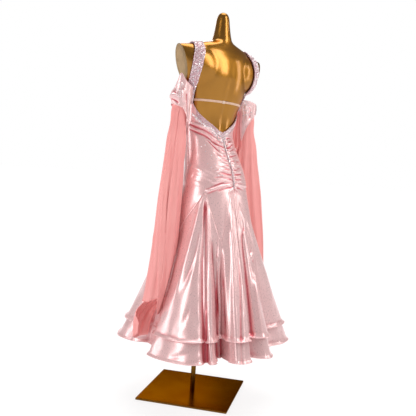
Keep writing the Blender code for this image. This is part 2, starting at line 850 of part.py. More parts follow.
def build_strap(side, name, faces, beaded):
    path = strap_line(side)
    outer, inner = [], []
    count = len(path)
    for i, centre in enumerate(path):
        ahead = path[min(i + 1, count - 1)]
        behind = path[max(i - 1, 0)]
        along = (ahead - behind).normalized()
        out = seat(centre, 1.0, faces) - seat(centre, 0.0, faces)
        across = along.cross(out.normalized()).normalized()
        from_end = min(i, count - 1 - i)
        width = curve_value((0.0, 0.55, 1.0), STRAP_WIDTHS, i / (count - 1))
        lift = mix(STRAP_END_LIFT, STRAP_LIFT, ease((from_end - 3) / STRAP_ENDS))
        outer_row, inner_row = [], []
        for share in STRAP_COLUMNS:
            spot = seat(centre + across * (width * share), lift, faces)
            inner_row.append(spot)
            outer_row.append(seat(spot, lift + STRAP_WALL, faces))
        outer.append(outer_row)
        inner.append(inner_row)
    wall_between(name, outer, inner, beaded)


def form_point(angle, z, lift):
    middle = table_value(FORM_LEVELS, 4, z)
    turn = math.radians(angle)
    radius = trunk_radius(angle, z) + lift
    return Vector((radius * math.cos(turn), middle + radius * math.sin(turn), z))


def build_elastic(elastic, metal):
    first, last = ELASTIC_SPAN
    count = 20
    outer, inner = [], []
    for z in (ELASTIC_HEIGHT + ELASTIC_WIDTH / 2, ELASTIC_HEIGHT - ELASTIC_WIDTH / 2):
        angles = [mix(first, last, i / count) for i in range(count + 1)]
        inner.append([form_point(a, z, ELASTIC_LIFT) for a in angles])
        outer.append([form_point(a, z, ELASTIC_LIFT + ELASTIC_WALL) for a in angles])
    wall_between("back_elastic", outer, inner, elastic)
    build_slider(metal)


def build_slider(metal):
    """Rectangular loop round the elastic, with a small clearance all round."""
    depth = ELASTIC_LIFT + ELASTIC_WALL / 2
    half = ELASTIC_WIDTH / 2
    middle = form_point(SLIDER_ANGLE, ELASTIC_HEIGHT, depth)
    ahead = form_point(SLIDER_ANGLE + 2.0, ELASTIC_HEIGHT, depth)
    behind = form_point(SLIDER_ANGLE - 2.0, ELASTIC_HEIGHT, depth)
    above = form_point(SLIDER_ANGLE, ELASTIC_HEIGHT + half, depth)
    below = form_point(SLIDER_ANGLE, ELASTIC_HEIGHT - half, depth)
    along = (ahead - behind).normalized()
    out = along.cross(above - below).normalized()
    up = out.cross(along)
    hole = (ELASTIC_WALL / 2 + SLIDER_CLEARANCE, ELASTIC_WIDTH / 2 + SLIDER_CLEARANCE)
    body = (hole[0] + SLIDER_WALL, hole[1] + SLIDER_WALL)
    corners = ((-1, -1), (1, -1), (1, 1), (-1, 1))
    outer, inner = [], []
    for end in (-0.5, 0.5):
        start = middle + along * (SLIDER_WIDTH * end)
        outer.append([start + out * (body[0] * a) + up * (body[1] * b) for a, b in corners])
        inner.append([start + out * (hole[0] * a) + up * (hole[1] * b) for a, b in corners])
    wall_between("elastic_slider", outer, inner, metal, closed=True)


def laid_on(angle, turned, share):
    """A trim's lower and upper point over the body: height from one angle, place from another."""
    z = panel_row(share, angle)
    base = dress_point(turned, z)
    normal = dress_normal(turned, z)
    under = base + normal * (CLOTH_WALL + gather_lift(angle, share) + LAID_ON_GAP)
    return under, under + normal * TRIM_WALL


def build_edge_band(name, angles, beaded):
    """Beaded band along the open back's edge."""
    outer, inner = [], []
    for share in (0.0, EDGE_SHARE / 2, EDGE_SHARE):
        pairs = [laid_on(angle, turned, share) for angle, turned in angles]
        inner.append([under for under, over in pairs])
        outer.append([over for under, over in pairs])
    wall_between(name, outer, inner, beaded)


def build_trims(beaded):
    """Bands of the back opening, then the trim down the centre-back seam."""
    shift = edge_shift(90.0, 90.0, 0.0, TRIM_RADIUS)
    left = [(a, a - shift if a == 90.0 else a) for a in SEAM_COLUMNS if 14.0 <= a <= 90.0]
    right = [(a, a + shift if a == 90.0 else a) for a in SEAM_COLUMNS if 90.0 <= a <= 166.0]
    build_edge_band("edge_band_left", left, beaded)
    build_edge_band("edge_band_right", right, beaded)
    outer, inner = [], []
    for share in [row for row in back_rows() if TRIM_HEAD < row < TRIM_FOOT]:
        z = panel_row(share, 90.0)
        spread = math.degrees(TRIM_HALF_WIDTH / (dress_radius(90.0, z) + CLOTH_EASE))
        pairs = [laid_on(90.0, 90.0 + spread * step, share) for step in (-1, 0, 1)]
        inner.append([under for under, over in pairs])
        outer.append([over for under, over in pairs])
    wall_between("centre_back_trim", outer, inner, beaded)


# ---------------------------------------------------------------------------
# Sleeves and floats
# ---------------------------------------------------------------------------

def dress_depth(point):
    """Signed plan distance of a point from the worn surface."""
    middle = centre_y(point.z)
    angle = math.degrees(math.atan2(point.y - middle, point.x))
    return math.hypot(point.x, point.y - middle) - dress_radius(angle, point.z)


def clear_of_dress(point, gap, side, away=None):
    """A point given on the left, moved level until it clears the cloth on the stated side."""
    point = Vector((side * point.x, point.y, point.z))
    least = CLOTH_EASE + CLOTH_WALL + gap
    straight = ease((FLOAT_FREE - point.z) / FLOAT_FREE_SPAN) if away else 0.0
    step = 0.001
    for _ in range(12):
        depth = dress_depth(point)
        along_x = dress_depth(point + Vector((step, 0.0, 0.0))) - depth
        along_y = dress_depth(point + Vector((0.0, step, 0.0))) - depth
        slope = Vector((along_x / step, along_y / step, 0.0))
        size = max(slope.length, 0.5)
        if depth / size >= least - 1e-5:
            break
        way = slope / size
        if straight:
            way = way.lerp(Vector((side * away.x, away.y, 0.0)), straight)
        point = point + way * ((least * size - depth) / max(slope.dot(way), 0.5))
    return Vector((side * point.x, point.y, point.z))


def sleeve_edges(edges, angle):
    rows = [(a - 360.0, t, f) for a, t, f in edges[-2:]] + list(edges)
    rows += [(a + 360.0, t, f) for a, t, f in edges[:2]]
    angle %= 360.0
    return table_value(rows, 1, angle), table_value(rows, 2, angle)


def sleeve_point(angle, z, side):
    turn = math.radians(angle)
    half_width = table_value(SLEEVE_LEVELS, 1, z)
    half_depth = table_value(SLEEVE_LEVELS, 2, z)
    off = (angle + 180.0) % 360.0 - 180.0
    tip = SLEEVE_TIP * math.exp(
        -((off / SLEEVE_TIP_ANGLE) ** 2) - ((z - SLEEVE_TIP_HEIGHT) / SLEEVE_TIP_SPREAD) ** 2
    )
    reach = half_width if math.cos(turn) > 0.0 else table_value(SLEEVE_LEVELS, 3, z)
    spot = Vector((
        SLEEVE_X + reach * math.cos(turn) + tip,
        SLEEVE_Y + half_depth * math.sin(turn),
        z,
    ))
    return clear_of_dress(spot, SLEEVE_GAP, side)


def sleeve_normal(angle, z, side):
    return outward(lambda u, v: sleeve_point(u, v, side), angle, z, 1.0, 0.003)


def build_sleeve(side, name, edges, satin):
    angles = [i * 18.0 for i in range(20)]
    shares = (0.0, 0.30, 0.60, 0.80, 1.0)
    outer, inner = [], []
    for share in shares:
        outer_row, inner_row = [], []
        for angle in angles:
            top, foot = sleeve_edges(edges, angle)
            z = mix(top, foot, share)
            spot = sleeve_point(angle, z, side)
            outer_row.append(spot)
            inner_row.append(spot - sleeve_normal(angle, z, side) * CLOTH_WALL)
        outer.append([Vector((side * p.x, p.y, p.z)) for p in outer_row])
        inner.append([Vector((side * p.x, p.y, p.z)) for p in inner_row])
    wall_between(name, outer, inner, satin, closed=True)


def float_point(angle, z, inset, side):
    """Middle of the chiffon's wall, before its gathers."""
    turn = math.radians(angle)
    columns = [table_value(FLOAT_LEVELS, c, min(z, FLOAT_LEVELS[-1][0])) for c in range(1, 6)]
    centre_x, middle_y, long_half, short_half, axis = columns
    if side < 0.0:
        centre_x -= FLOAT_RIGHT_DRAWN_IN * ease((FLOAT_FREE - z) / FLOAT_FREE_SPAN)
    tilt = math.radians(axis)
    slack = inset * ease((INSET_TOP - z) / INSET_TOP_SPAN) * ease((z - INSET_FOOT) / INSET_FOOT_SPAN)
    pull = ease((FLOAT_SEWN - z) / PULL_TOP_SPAN) * ease((z - PULL_FOOT) / PULL_FOOT_SPAN)
    along = (long_half - slack) * math.cos(turn - tilt)
    beside = (short_half - slack) * math.sin(turn - tilt)
    inward = FLOAT_INWARD * pull * max(0.0, -math.cos(turn))
    loose = Vector((
        centre_x + along * math.cos(tilt) - beside * math.sin(tilt) - inward,
        middle_y + along * math.sin(tilt) + beside * math.cos(tilt),
        z,
    ))
    joined = ease((z - FLOAT_JOIN) / (FLOAT_SEWN - FLOAT_JOIN))
    if joined <= 0.0:
        away = Vector((centre_x, middle_y - centre_y(z), 0.0)).normalized()
        return clear_of_dress(loose, table_value(FLOAT_CLEARANCES, 1, z), side, away)
    height = max(z, FLOAT_SEWN)
    facing = math.cos(turn - math.radians(FLOAT_FRONT_ANGLE))
    gap = mix(FLOAT_JOIN_GAP, FLOAT_FRONT_GAP, ease((facing - 0.5) / 0.3))
    depth = CLOTH_WALL + gap + CHIFFON_WALL / 2
    sewn = sleeve_point(angle, height, side) - sleeve_normal(angle, height, side) * depth
    return loose.lerp(Vector((sewn.x, sewn.y, z)), joined)


def float_range(row, z):
    """First and last angle of a float's cloth at a height."""
    first, last_top, last_foot = row[1:4]
    spread = ease((UNDER_SPREAD_TOP - z) / (UNDER_SPREAD_TOP - UNDER_SPREAD_FOOT))
    return first, mix(last_top, last_foot, spread)


def float_row(row, share, columns, side):
    """Middle of the chiffon's wall at a share of its drop, in even steps round the curve."""
    fine = []
    for i in range(FLOAT_SAMPLES + 1):
        place = i / FLOAT_SAMPLES
        z = mix(FLOAT_TOP, curve_value((0.0, 0.5, 1.0), row[5:8], place), share)
        low, high = float_range(row, z)
        fine.append(float_point(mix(low, high, place), z, row[4], side))
    lengths = [0.0]
    for a, b in zip(fine, fine[1:]):
        lengths.append(lengths[-1] + (b - a).length)
    along = list(zip(lengths, fine))
    level = []
    for c in range(columns):
        at = lengths[-1] * c / (columns - 1)
        reach = min(at, lengths[-1] - at, FLOAT_SOFT)
        spots = [linear_value(along, at + reach * k) for k in (-1.0, -0.5, 0.0, 0.5, 1.0)]
        soft = ease((FLOAT_FREE - spots[2].z) / FLOAT_FREE_SPAN)
        level.append(spots[2].lerp(sum(spots, Vector()) / len(spots), soft))
    return level


def grid_normals(grid):
    """Outward normals of a grid of points whose columns run with the angle and rows downward."""
    rows, columns = len(grid), len(grid[0])
    total = [[Vector() for _ in range(columns)] for _ in range(rows)]
    for r in range(rows - 1):
        for c in range(columns - 1):
            corners = ((r, c), (r, c + 1), (r + 1, c + 1), (r + 1, c))
            a, b, f, e = (grid[i][j] for i, j in corners)
            for normal, used in (
                ((b - a).cross(f - a), (0, 1, 2)),
                ((f - a).cross(e - a), (0, 2, 3)),
            ):
                for k in used:
                    i, j = corners[k]
                    total[i][j] -= normal.normalized()
    return [[n.normalized() for n in row] for row in total]


def straightness(level, c):
    """1 where a row of points runs straight on, down to 0 at a sharp corner."""
    c = min(max(c, 1), len(level) - 2)
    before = level[c] - level[max(c - 2, 0)]
    after = level[min(c + 2, len(level) - 1)] - level[c]
    return ease((before.normalized().dot(after.normalized()) - 0.3) / 0.6)


def build_float(side, name, row, chiffon):
    columns = 2 * row[8] + 1
    smooth = [float_row(row, share, columns, side) for share in FLOAT_SHARES]
    waved = []
    for level, normals in zip(smooth, grid_normals(smooth)):
        step = sum((b - a).length for a, b in zip(level, level[1:])) / (columns - 1)
        points = []
        for c, (middle, normal) in enumerate(zip(level, normals)):
            depth = FLOAT_WAVE_DEPTH * ease((FLOAT_TOP - middle.z) / FLOAT_WAVE_RISE)
            wave = min(depth, FLOAT_WAVE_LIMIT * step) * straightness(level, c)
            points.append(middle + normal * (wave if c % 2 else -wave))
        waved.append(points)
    half = CHIFFON_WALL / 2
    outer, inner = [], []
    for level, normals in zip(waved, grid_normals(waved)):
        for rows, reach in ((outer, half), (inner, -half)):
            row_points = [p + n * reach for p, n in zip(level, normals)]
            rows.append([Vector((side * p.x, p.y, p.z)) for p in row_points])
    wall_between(name, outer, inner, chiffon)


# ---------------------------------------------------------------------------
# The whole part
# ---------------------------------------------------------------------------

def main():
    gold = make_material("gold_lacquer", (0.52, 0.30, 0.07), 0.28, 1.0)
    satin = make_material("pink_satin", (0.88, 0.55, 0.54), 0.32)
    chiffon = make_material("salmon_chiffon", (0.90, 0.42, 0.40), 0.75)
    beaded = make_material("beaded_band", (0.62, 0.42, 0.46), 0.25, 0.4)
    elastic = make_material("nude_elastic", (0.78, 0.52, 0.38), 0.6)
    metal = make_material("slider_metal", (0.80, 0.70, 0.55), 0.25, 1.0)
    faces = faces_of(build_form(gold))
    build_pole(gold)
    build_base(gold)
    build_body(satin)
    build_godets(satin)
    build_hem_bands(satin)
    build_elastic(elastic, metal)
    build_trims(beaded)
    sides = (
        (1.0, "left", SLEEVE_EDGES_LEFT),
        (-1.0, "right", SLEEVE_EDGES_RIGHT),
    )
    for side, word, edges in sides:
        build_strap(side, "strap_" + word, faces, beaded)
        build_sleeve(side, "sleeve_" + word, edges, satin)
        for row in FLOATS:
            build_float(side, "float_%s_%s" % (word, row[0]), row, chiffon)


main()
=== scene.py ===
"""Looks of the ballroom dance dress on its gold dress form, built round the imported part.

Metres, +Z up, in the part's own frame: the dress's back faces +Y, the wearer's left is +X.
Every cloth piece is a thin shell on the same surface that its solid was cut from, with the
folds, gathers, creases, hems and stones that the solid leaves out.
"""

import math

import bmesh
import bpy
import numpy as np
from mathutils import Matrix, Vector
from mathutils.bvhtree import BVHTree


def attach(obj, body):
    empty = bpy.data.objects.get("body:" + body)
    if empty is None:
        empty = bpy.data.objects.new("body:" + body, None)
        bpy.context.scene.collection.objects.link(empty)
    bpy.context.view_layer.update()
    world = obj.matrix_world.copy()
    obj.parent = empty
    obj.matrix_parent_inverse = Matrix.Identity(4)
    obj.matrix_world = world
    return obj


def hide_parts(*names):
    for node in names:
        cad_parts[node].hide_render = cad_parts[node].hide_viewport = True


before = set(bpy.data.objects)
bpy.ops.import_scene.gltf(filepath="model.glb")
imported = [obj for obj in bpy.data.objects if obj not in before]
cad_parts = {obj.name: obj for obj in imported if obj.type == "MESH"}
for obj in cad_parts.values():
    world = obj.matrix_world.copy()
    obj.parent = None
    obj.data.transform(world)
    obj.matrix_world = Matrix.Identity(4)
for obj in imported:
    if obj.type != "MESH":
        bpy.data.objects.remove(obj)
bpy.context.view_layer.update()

# Cloth
CLOTH_EASE = 0.0030
CLOTH_WALL = 0.0020
CHIFFON_WALL = 0.0015
SEAM_GAP = 0.0004
LAID_ON_GAP = 0.0005
BAND_GAP = 0.0009

# Heights that the dress is cut to
FLARE_TOP = 0.930
SKIRT_HEM = 0.335
BAND_HEM = 0.260
BAND_TOP = 0.372
HEM_RADIUS = 0.350
HEM_CENTRE_Y = 0.040
FLARE_POWER = 1.15
SKIRT_KICK = 0.007
BAND_KICK = 0.005
KICK_HEIGHT = 0.022

# The form's sections: height, half width, front y, back y, y of the widest line
FORM_LEVELS = (
    (0.800, 0.136, -0.034, 0.156, 0.062),
    (0.860, 0.146, -0.042, 0.172, 0.066),
    (0.930, 0.149, -0.046, 0.176, 0.066),
    (1.000, 0.138, -0.055, 0.160, 0.055),
    (1.060, 0.126, -0.064, 0.128, 0.035),
    (1.120, 0.118, -0.072, 0.098, 0.015),
    (1.165, 0.116, -0.078, 0.083, 0.008),
    (1.220, 0.121, -0.090, 0.086, 0.014),
    (1.290, 0.134, -0.108, 0.104, 0.028),
    (1.350, 0.148, -0.110, 0.120, 0.040),
    (1.410, 0.156, -0.092, 0.128, 0.045),
    (1.460, 0.160, -0.062, 0.124, 0.046),
    (1.500, 0.160, -0.030, 0.112, 0.047),
    (1.518, 0.148, -0.015, 0.104, 0.048),
    (1.533, 0.112, -0.004, 0.098, 0.048),
    (1.545, 0.068, 0.002, 0.094, 0.048),
    (1.556, 0.0445, 0.004, 0.092, 0.048),
    (1.590, 0.0360, 0.012, 0.084, 0.048),
    (1.620, 0.0315, 0.016, 0.079, 0.048),
    (1.655, 0.0265, 0.021, 0.074, 0.048),
    (1.670, 0.0190, 0.029, 0.067, 0.048),
    (1.678, 0.0060, 0.042, 0.054, 0.048),
)
# The shoulders' sections: distance out, centre y, centre z, half depth, half height
SHOULDER_LEVELS = (
    (0.000, 0.046, 1.430, 0.072, 0.096),
    (0.100, 0.046, 1.430, 0.070, 0.094),
    (0.145, 0.046, 1.431, 0.062, 0.087),
    (0.180, 0.046, 1.432, 0.048, 0.080),
    (0.202, 0.045, 1.433, 0.038, 0.075),
    (0.214, 0.044, 1.434, 0.033, 0.072),
)
SHOULDER_LEAN = 0.30
SPINE_DEPTH = 0.006
SPINE_WIDTH = 9.0
SPINE_HEIGHT = 1.25
SPINE_REACH = 0.14

# Upper edge of the dress's body: angle, height (the other side mirrors it)
TOP_EDGE = (
    (-90.0, 1.300),
    (-75.0, 1.330),
    (-55.0, 1.372),
    (-38.0, 1.370),
    (-18.0, 1.334),
    (-5.0, 1.322),
    (3.0, 1.292),
    (10.0, 1.262),
    (22.0, 1.232),
    (40.0, 1.206),
    (60.0, 1.186),
    (76.0, 1.172),
    (90.0, 1.165),
)

# Seam between the body and the godets: angle at the hip, height, alternating points and tops
YOKE_LINE = (
    (-5.0, 0.700),
    (30.0, 0.909),
    (60.5, 0.709),
    (79.0, 0.914),
    (90.0, 0.794),
    (102.5, 0.872),
    (121.0, 0.709),
    (150.0, 0.909),
    (185.0, 0.700),
    (214.0, 0.905),
    (241.0, 0.710),
    (257.0, 0.910),
    (270.0, 0.780),
    (283.0, 0.910),
    (299.0, 0.710),
    (325.0, 0.905),
)
# Hip angles of the seams between the godets, and between the hem bands
GODET_SEAMS = (-5.0, 60.5, 90.0, 121.0, 185.0, 241.0, 270.0, 299.0, 355.0)
BAND_SEAMS = (-5.0, 90.0, 185.0, 270.0, 355.0)

# Skirt folds: angle at the hip, angle at the hem, height where the fold starts,
# how far the fold line stands out of the mean hem circle (ridges plus, troughs minus)
FOLDS = (
    (-5.0, -9.0, 0.860, -0.088),
    (4.0, 4.0, 0.840, -0.080),
    (14.0, 14.0, 0.450, 0.021),
    (22.0, 28.0, 0.890, 0.044),
    (27.0, 40.0, 0.905, 0.055),
    (30.0, 48.0, 0.909, 0.042),
    (32.5, 51.5, 0.909, 0.008),
    (36.0, 54.5, 0.905, 0.032),
    (42.0, 57.5, 0.890, 0.018),
    (54.0, 60.5, 0.760, -0.058),
    (58.0, 62.3, 0.720, -0.050),
    (60.5, 64.0, 0.709, -0.078),
    (64.0, 66.5, 0.750, 0.006),
    (79.0, 72.5, 0.914, 0.036),
    (86.0, 79.5, 0.860, 0.027),
    (90.0, 84.3, 0.794, -0.030),
    (97.0, 90.8, 0.840, 0.010),
    (102.5, 96.0, 0.870, 0.024),
    (108.0, 102.0, 0.860, 0.008),
    (115.0, 113.0, 0.800, -0.058),
    (121.0, 122.0, 0.709, -0.045),
    (133.0, 134.0, 0.800, 0.008),
    (150.0, 148.0, 0.780, 0.044),
    (165.0, 163.0, 0.780, 0.026),
    (176.0, 177.0, 0.840, -0.055),
    (185.0, 187.0, 0.860, -0.070),
    (199.0, 199.0, 0.870, -0.010),
    (214.0, 214.0, 0.905, 0.030),
    (228.0, 229.0, 0.850, 0.020),
    (241.0, 241.0, 0.710, -0.055),
    (257.0, 256.0, 0.910, 0.035),
    (270.0, 270.0, 0.780, -0.045),
    (283.0, 284.0, 0.910, 0.035),
    (299.0, 299.0, 0.710, -0.055),
    (311.0, 311.0, 0.850, 0.015),
    (325.0, 324.0, 0.450, 0.016),
    (341.0, 340.0, 0.870, -0.026),
)

# Gathers each side of the centre-back seam: place down the panel (0 top, 1 bottom),
# height of the ridge, how far round the panel it runs (degrees)
GATHERS = (
    (0.1370, 0.0045, 34.0),
    (0.1940, 0.0085, 52.0),
    (0.2510, 0.0075, 46.0),
    (0.3080, 0.0045, 30.0),
    (0.3650, 0.0045, 26.0),
    (0.4220, 0.0045, 30.0),
    (0.4790, 0.0050, 26.0),
    (0.5360, 0.0055, 34.0),
    (0.5930, 0.0060, 40.0),
    (0.6500, 0.0060, 34.0),
    (0.7070, 0.0050, 28.0),
)
# Half a gather's pitch, and the turn from the seam where the gathers start and are full
GATHER_STEP = 0.0285
GATHER_CLEAR = 3.5
GATHER_FULL = 8.0
# Place down the panel that lies at the hip line, and the hip line's height
HIP_SHARE = 0.7355
HIP_LINE = 0.930

# Shoulder straps: the centre line from the side back over the shoulder to the front
STRAP_PATH = (
    (0.140, 0.026, 1.275),
    (0.143, 0.033, 1.300),
    (0.151, 0.046, 1.333),
    (0.164, 0.068, 1.372),
    (0.170, 0.086, 1.405),
    (0.169, 0.094, 1.438),
    (0.163, 0.094, 1.472),
    (0.154, 0.080, 1.505),
    (0.147, 0.052, 1.526),
    (0.143, 0.016, 1.520),
    (0.137, -0.018, 1.490),
    (0.128, -0.052, 1.440),
    (0.116, -0.080, 1.395),
    (0.106, -0.094, 1.360),
)
# Width of the strap: at its back end, its top and its front end
STRAP_WIDTHS = (0.030, 0.046, 0.036)
STRAP_WALL = 0.0022
STRAP_LIFT = 0.0050
STRAP_END_LIFT = CLOTH_EASE + CLOTH_WALL + 0.0022
STRAP_ENDS = 3.0

# Elastic band across the open back
ELASTIC_HEIGHT = 1.291
ELASTIC_WIDTH = 0.009
ELASTIC_WALL = 0.0010
ELASTIC_LIFT = 0.0014
ELASTIC_SPAN = (-1.5, 181.5)

# Beaded bands on the back edge and the centre-back trim
EDGE_BAND_WIDTH = 0.024
EDGE_SHARE = 0.080
TRIM_WALL = 0.0016
TRIM_HEAD = 0.090
TRIM_FOOT = 0.740

# Off-shoulder sleeves: centre, sections (height, half width, half depth), edges by angle
SLEEVE_X = 0.200
SLEEVE_Y = 0.035
SLEEVE_GAP = 0.0070
# height, half width outward, half depth, half width towards the body
SLEEVE_LEVELS = (
    (1.140, 0.034, 0.034, 0.044),
    (1.200, 0.036, 0.034, 0.046),
    (1.262, 0.038, 0.034, 0.048),
    (1.292, 0.040, 0.036, 0.056),
    (1.320, 0.036, 0.038, 0.060),
    (1.390, 0.032, 0.038, 0.060),
)
# The outer corner's point: how far it stands out, its height, its reach up and round
SLEEVE_TIP = 0.015
SLEEVE_TIP_HEIGHT = 1.290
SLEEVE_TIP_SPREAD = 0.018
SLEEVE_TIP_ANGLE = 26.0
# angle about the sleeve (0 outward, 90 back, 180 body side), top height, bottom height
SLEEVE_EDGES_LEFT = (
    (0.0, 1.322, 1.262),
    (22.0, 1.352, 1.258),
    (45.0, 1.386, 1.254),
    (75.0, 1.362, 1.246),
    (105.0, 1.346, 1.215),
    (140.0, 1.336, 1.160),
    (170.0, 1.330, 1.140),
    (205.0, 1.326, 1.180),
    (250.0, 1.316, 1.240),
    (310.0, 1.306, 1.258),
)

# Chiffon floats: height, centre x, centre y, long half, short half, turn of the long axis
FLOAT_LEVELS = (
    (0.260, 0.300, 0.030, 0.070, 0.046, 40.0),
    (0.330, 0.304, 0.028, 0.074, 0.050, 40.0),
    (0.400, 0.302, 0.034, 0.074, 0.050, 40.0),
    (0.460, 0.286, 0.055, 0.066, 0.051, 40.0),
    (0.550, 0.274, 0.061, 0.063, 0.053, 40.0),
    (0.700, 0.252, 0.056, 0.072, 0.048, 34.0),
    (0.866, 0.231, 0.045, 0.079, 0.040, 27.0),
    (1.000, 0.220, 0.042, 0.066, 0.036, 25.0),
    (1.120, 0.213, 0.037, 0.042, 0.033, 20.0),
    (1.200, 0.207, 0.034, 0.030, 0.027, 10.0),
    (1.262, 0.205, 0.035, 0.036, 0.031, 0.0),
)
# The right floats hang a little nearer the body than the left
FLOAT_RIGHT_DRAWN_IN = 0.0095
FLOAT_INWARD = 0.011
# Heights: upper edge inside the sleeve, sewn line, start of the join, hanging free below
FLOAT_TOP = 1.272
FLOAT_SEWN = 1.258
FLOAT_JOIN = 1.215
FLOAT_FREE = 1.135
FLOAT_FREE_SPAN = 0.12
FLOAT_JOIN_GAP = 0.0025
FLOAT_FRONT_GAP = 0.0010
FLOAT_FRONT_ANGLE = 240.0
FLOAT_WAVE_RISE = 0.25
# Samples along a row, and how far along it the cloth is rounded off
FLOAT_SAMPLES = 72
FLOAT_SOFT = 0.026
# Heights between which the under panel is set in, and those where the panels lean inward
INSET_TOP = 1.10
INSET_TOP_SPAN = 0.20
INSET_FOOT = 0.40
INSET_FOOT_SPAN = 0.06
PULL_TOP_SPAN = 0.05
PULL_FOOT = 1.02
PULL_FOOT_SPAN = 0.08
# height, clearance from the skirt's cloth to the middle of the gathers
FLOAT_CLEARANCES = (
    (0.260, 0.0190),
    (0.360, 0.0190),
    (0.420, 0.0104),
    (1.100, 0.0072),
    (1.215, 0.0045),
    (1.262, 0.0045),
)
# name, first angle, last angle at the top, last angle at the foot, inset, foot at the
# first edge, foot in the middle, foot at the last edge, waves
FLOATS = (
    ("outer", -59.0, 57.0, 57.0, 0.000, 0.460, 0.455, 0.480, 6),
    ("inner", 61.0, 174.0, 174.0, 0.000, 0.470, 0.395, 0.480, 6),
    ("under", 186.0, 295.0, 382.0, 0.010, 0.300, 0.285, 0.330, 8),
)
UNDER_SPREAD_TOP = 0.440
UNDER_SPREAD_FOOT = 0.368


# Looks only
FRAME_PIXELS = 416
CAMERA_FOCUS = 600.0
CAMERA_PLACE = Vector((1.779, 1.980, 1.0027))
CAMERA_PITCH = 3.6666
CAMERA_ROLL = 3.6614
TABLE_ANGLES = 1441
TABLE_FOOT = 0.240
TABLE_HEAD = 1.600
TABLE_STEP = 0.002
# Columns and rows of the shells, and the grain that the form is remeshed and smoothed at
FORM_SIDES = 128
FORM_VOXEL = 0.0042
FORM_SMOOTHING = 14
SHOULDER_ROWS = 61
STRAP_ROWS = 110
STRAP_COLUMNS = 17
SLEEVE_STEP = 2.5
SLEEVE_ROWS = 34
FLOAT_WAVE_COLUMNS = 14
FLOAT_ROWS = 96
FLOAT_ROW_POWER = 1.1
GATHER_COLUMNS = 41
GATHER_ROWS = 40
SLEEVE_STONES = 70
# Walls of the shells, and radii of the rolled edges
SATIN_SHELL = CLOTH_WALL * 0.7
CHIFFON_SHELL = 0.0009
STRAP_SHELL = 0.0036
BAND_SHELL = 0.0012
TRIM_SHELL = 0.0011
SLEEVE_ROLL = 0.0013
FLOAT_ROLL = 0.0011
# Arm caps' rings: share of the stump's edge, height off its end
CAP_RINGS = (
    (0.995, -0.0035), (0.985, -0.0004), (0.955, 0.0010), (0.925, 0.0008), (0.90, 0.0003),
    (0.5, 0.0004), (0.02, 0.0005),
)
# Golds: name, dark, light, lowest and highest roughness, coat, tint
FORM_GOLD = (
    "gold_lacquer", (0.35, 0.148, 0.012), (0.40, 0.175, 0.018), 0.27, 0.31, 0.6, (0.95, 0.60, 0.25),
)
STAND_GOLD = (
    "dark_gold", (0.16, 0.072, 0.010), (0.19, 0.088, 0.014), 0.22, 0.28, 0.0, (0.50, 0.34, 0.18),
)
FLOOR_HALF = 60
FLOOR_DROP = 0.0004
# Widest steps between the columns, in degrees at the hip
BODY_STEP = 1.3
FRONT_STEP = 2.2
SKIRT_STEP = 0.62
CLOTH_SOFT = 0.0010
SKIRT_SOFT = 0.0022
SEAM_DIP = 0.0009
HEM_ROLL = 0.0018
FLOAT_FOLD = 0.0045
FLOAT_FINE = 0.0007
FLOAT_DRIFT = 0.020
ROOM_LIGHT = 0.27
CEILING_LIGHT = 2.1
CEILING_SPREAD = 50.0
CEILING_TILT = (8.0, -10.0, 0.0)
# Soft boxes: name, place, aim, size, power, colour
LAMPS = (
    ("left_box", (2.7, 0.4, 1.9), (0.0, 0.04, 0.95), (0.8, 1.8), 22.0, (1.0, 0.98, 0.96)),
    ("right_box", (-1.05, 2.25, 2.6), (0.0, 0.04, 1.3), (0.9, 2.0), 30.0, (1.0, 0.97, 0.93)),
    ("side_box", (2.3, -1.9, 1.2), (0.0, 0.04, 0.8), (0.7, 1.6), 13.0, (1.0, 0.99, 0.98)),
    ("far_box", (-2.4, 1.4, 1.9), (0.0, 0.04, 1.2), (0.35, 1.8), 9.0, (1.0, 0.97, 0.93)),
    ("front_box", (-1.5, -2.2, 2.0), (0.0, 0.04, 0.95), (1.2, 1.6), 20.0, (1.0, 1.0, 1.0)),
)
# Reach at which a cloth's hollows are measured for the shade painted into its folds, and points along a
# crease
BODY_HOLLOW = 0.008
SKIRT_HOLLOW = 0.016
CREASE_STEPS = 40
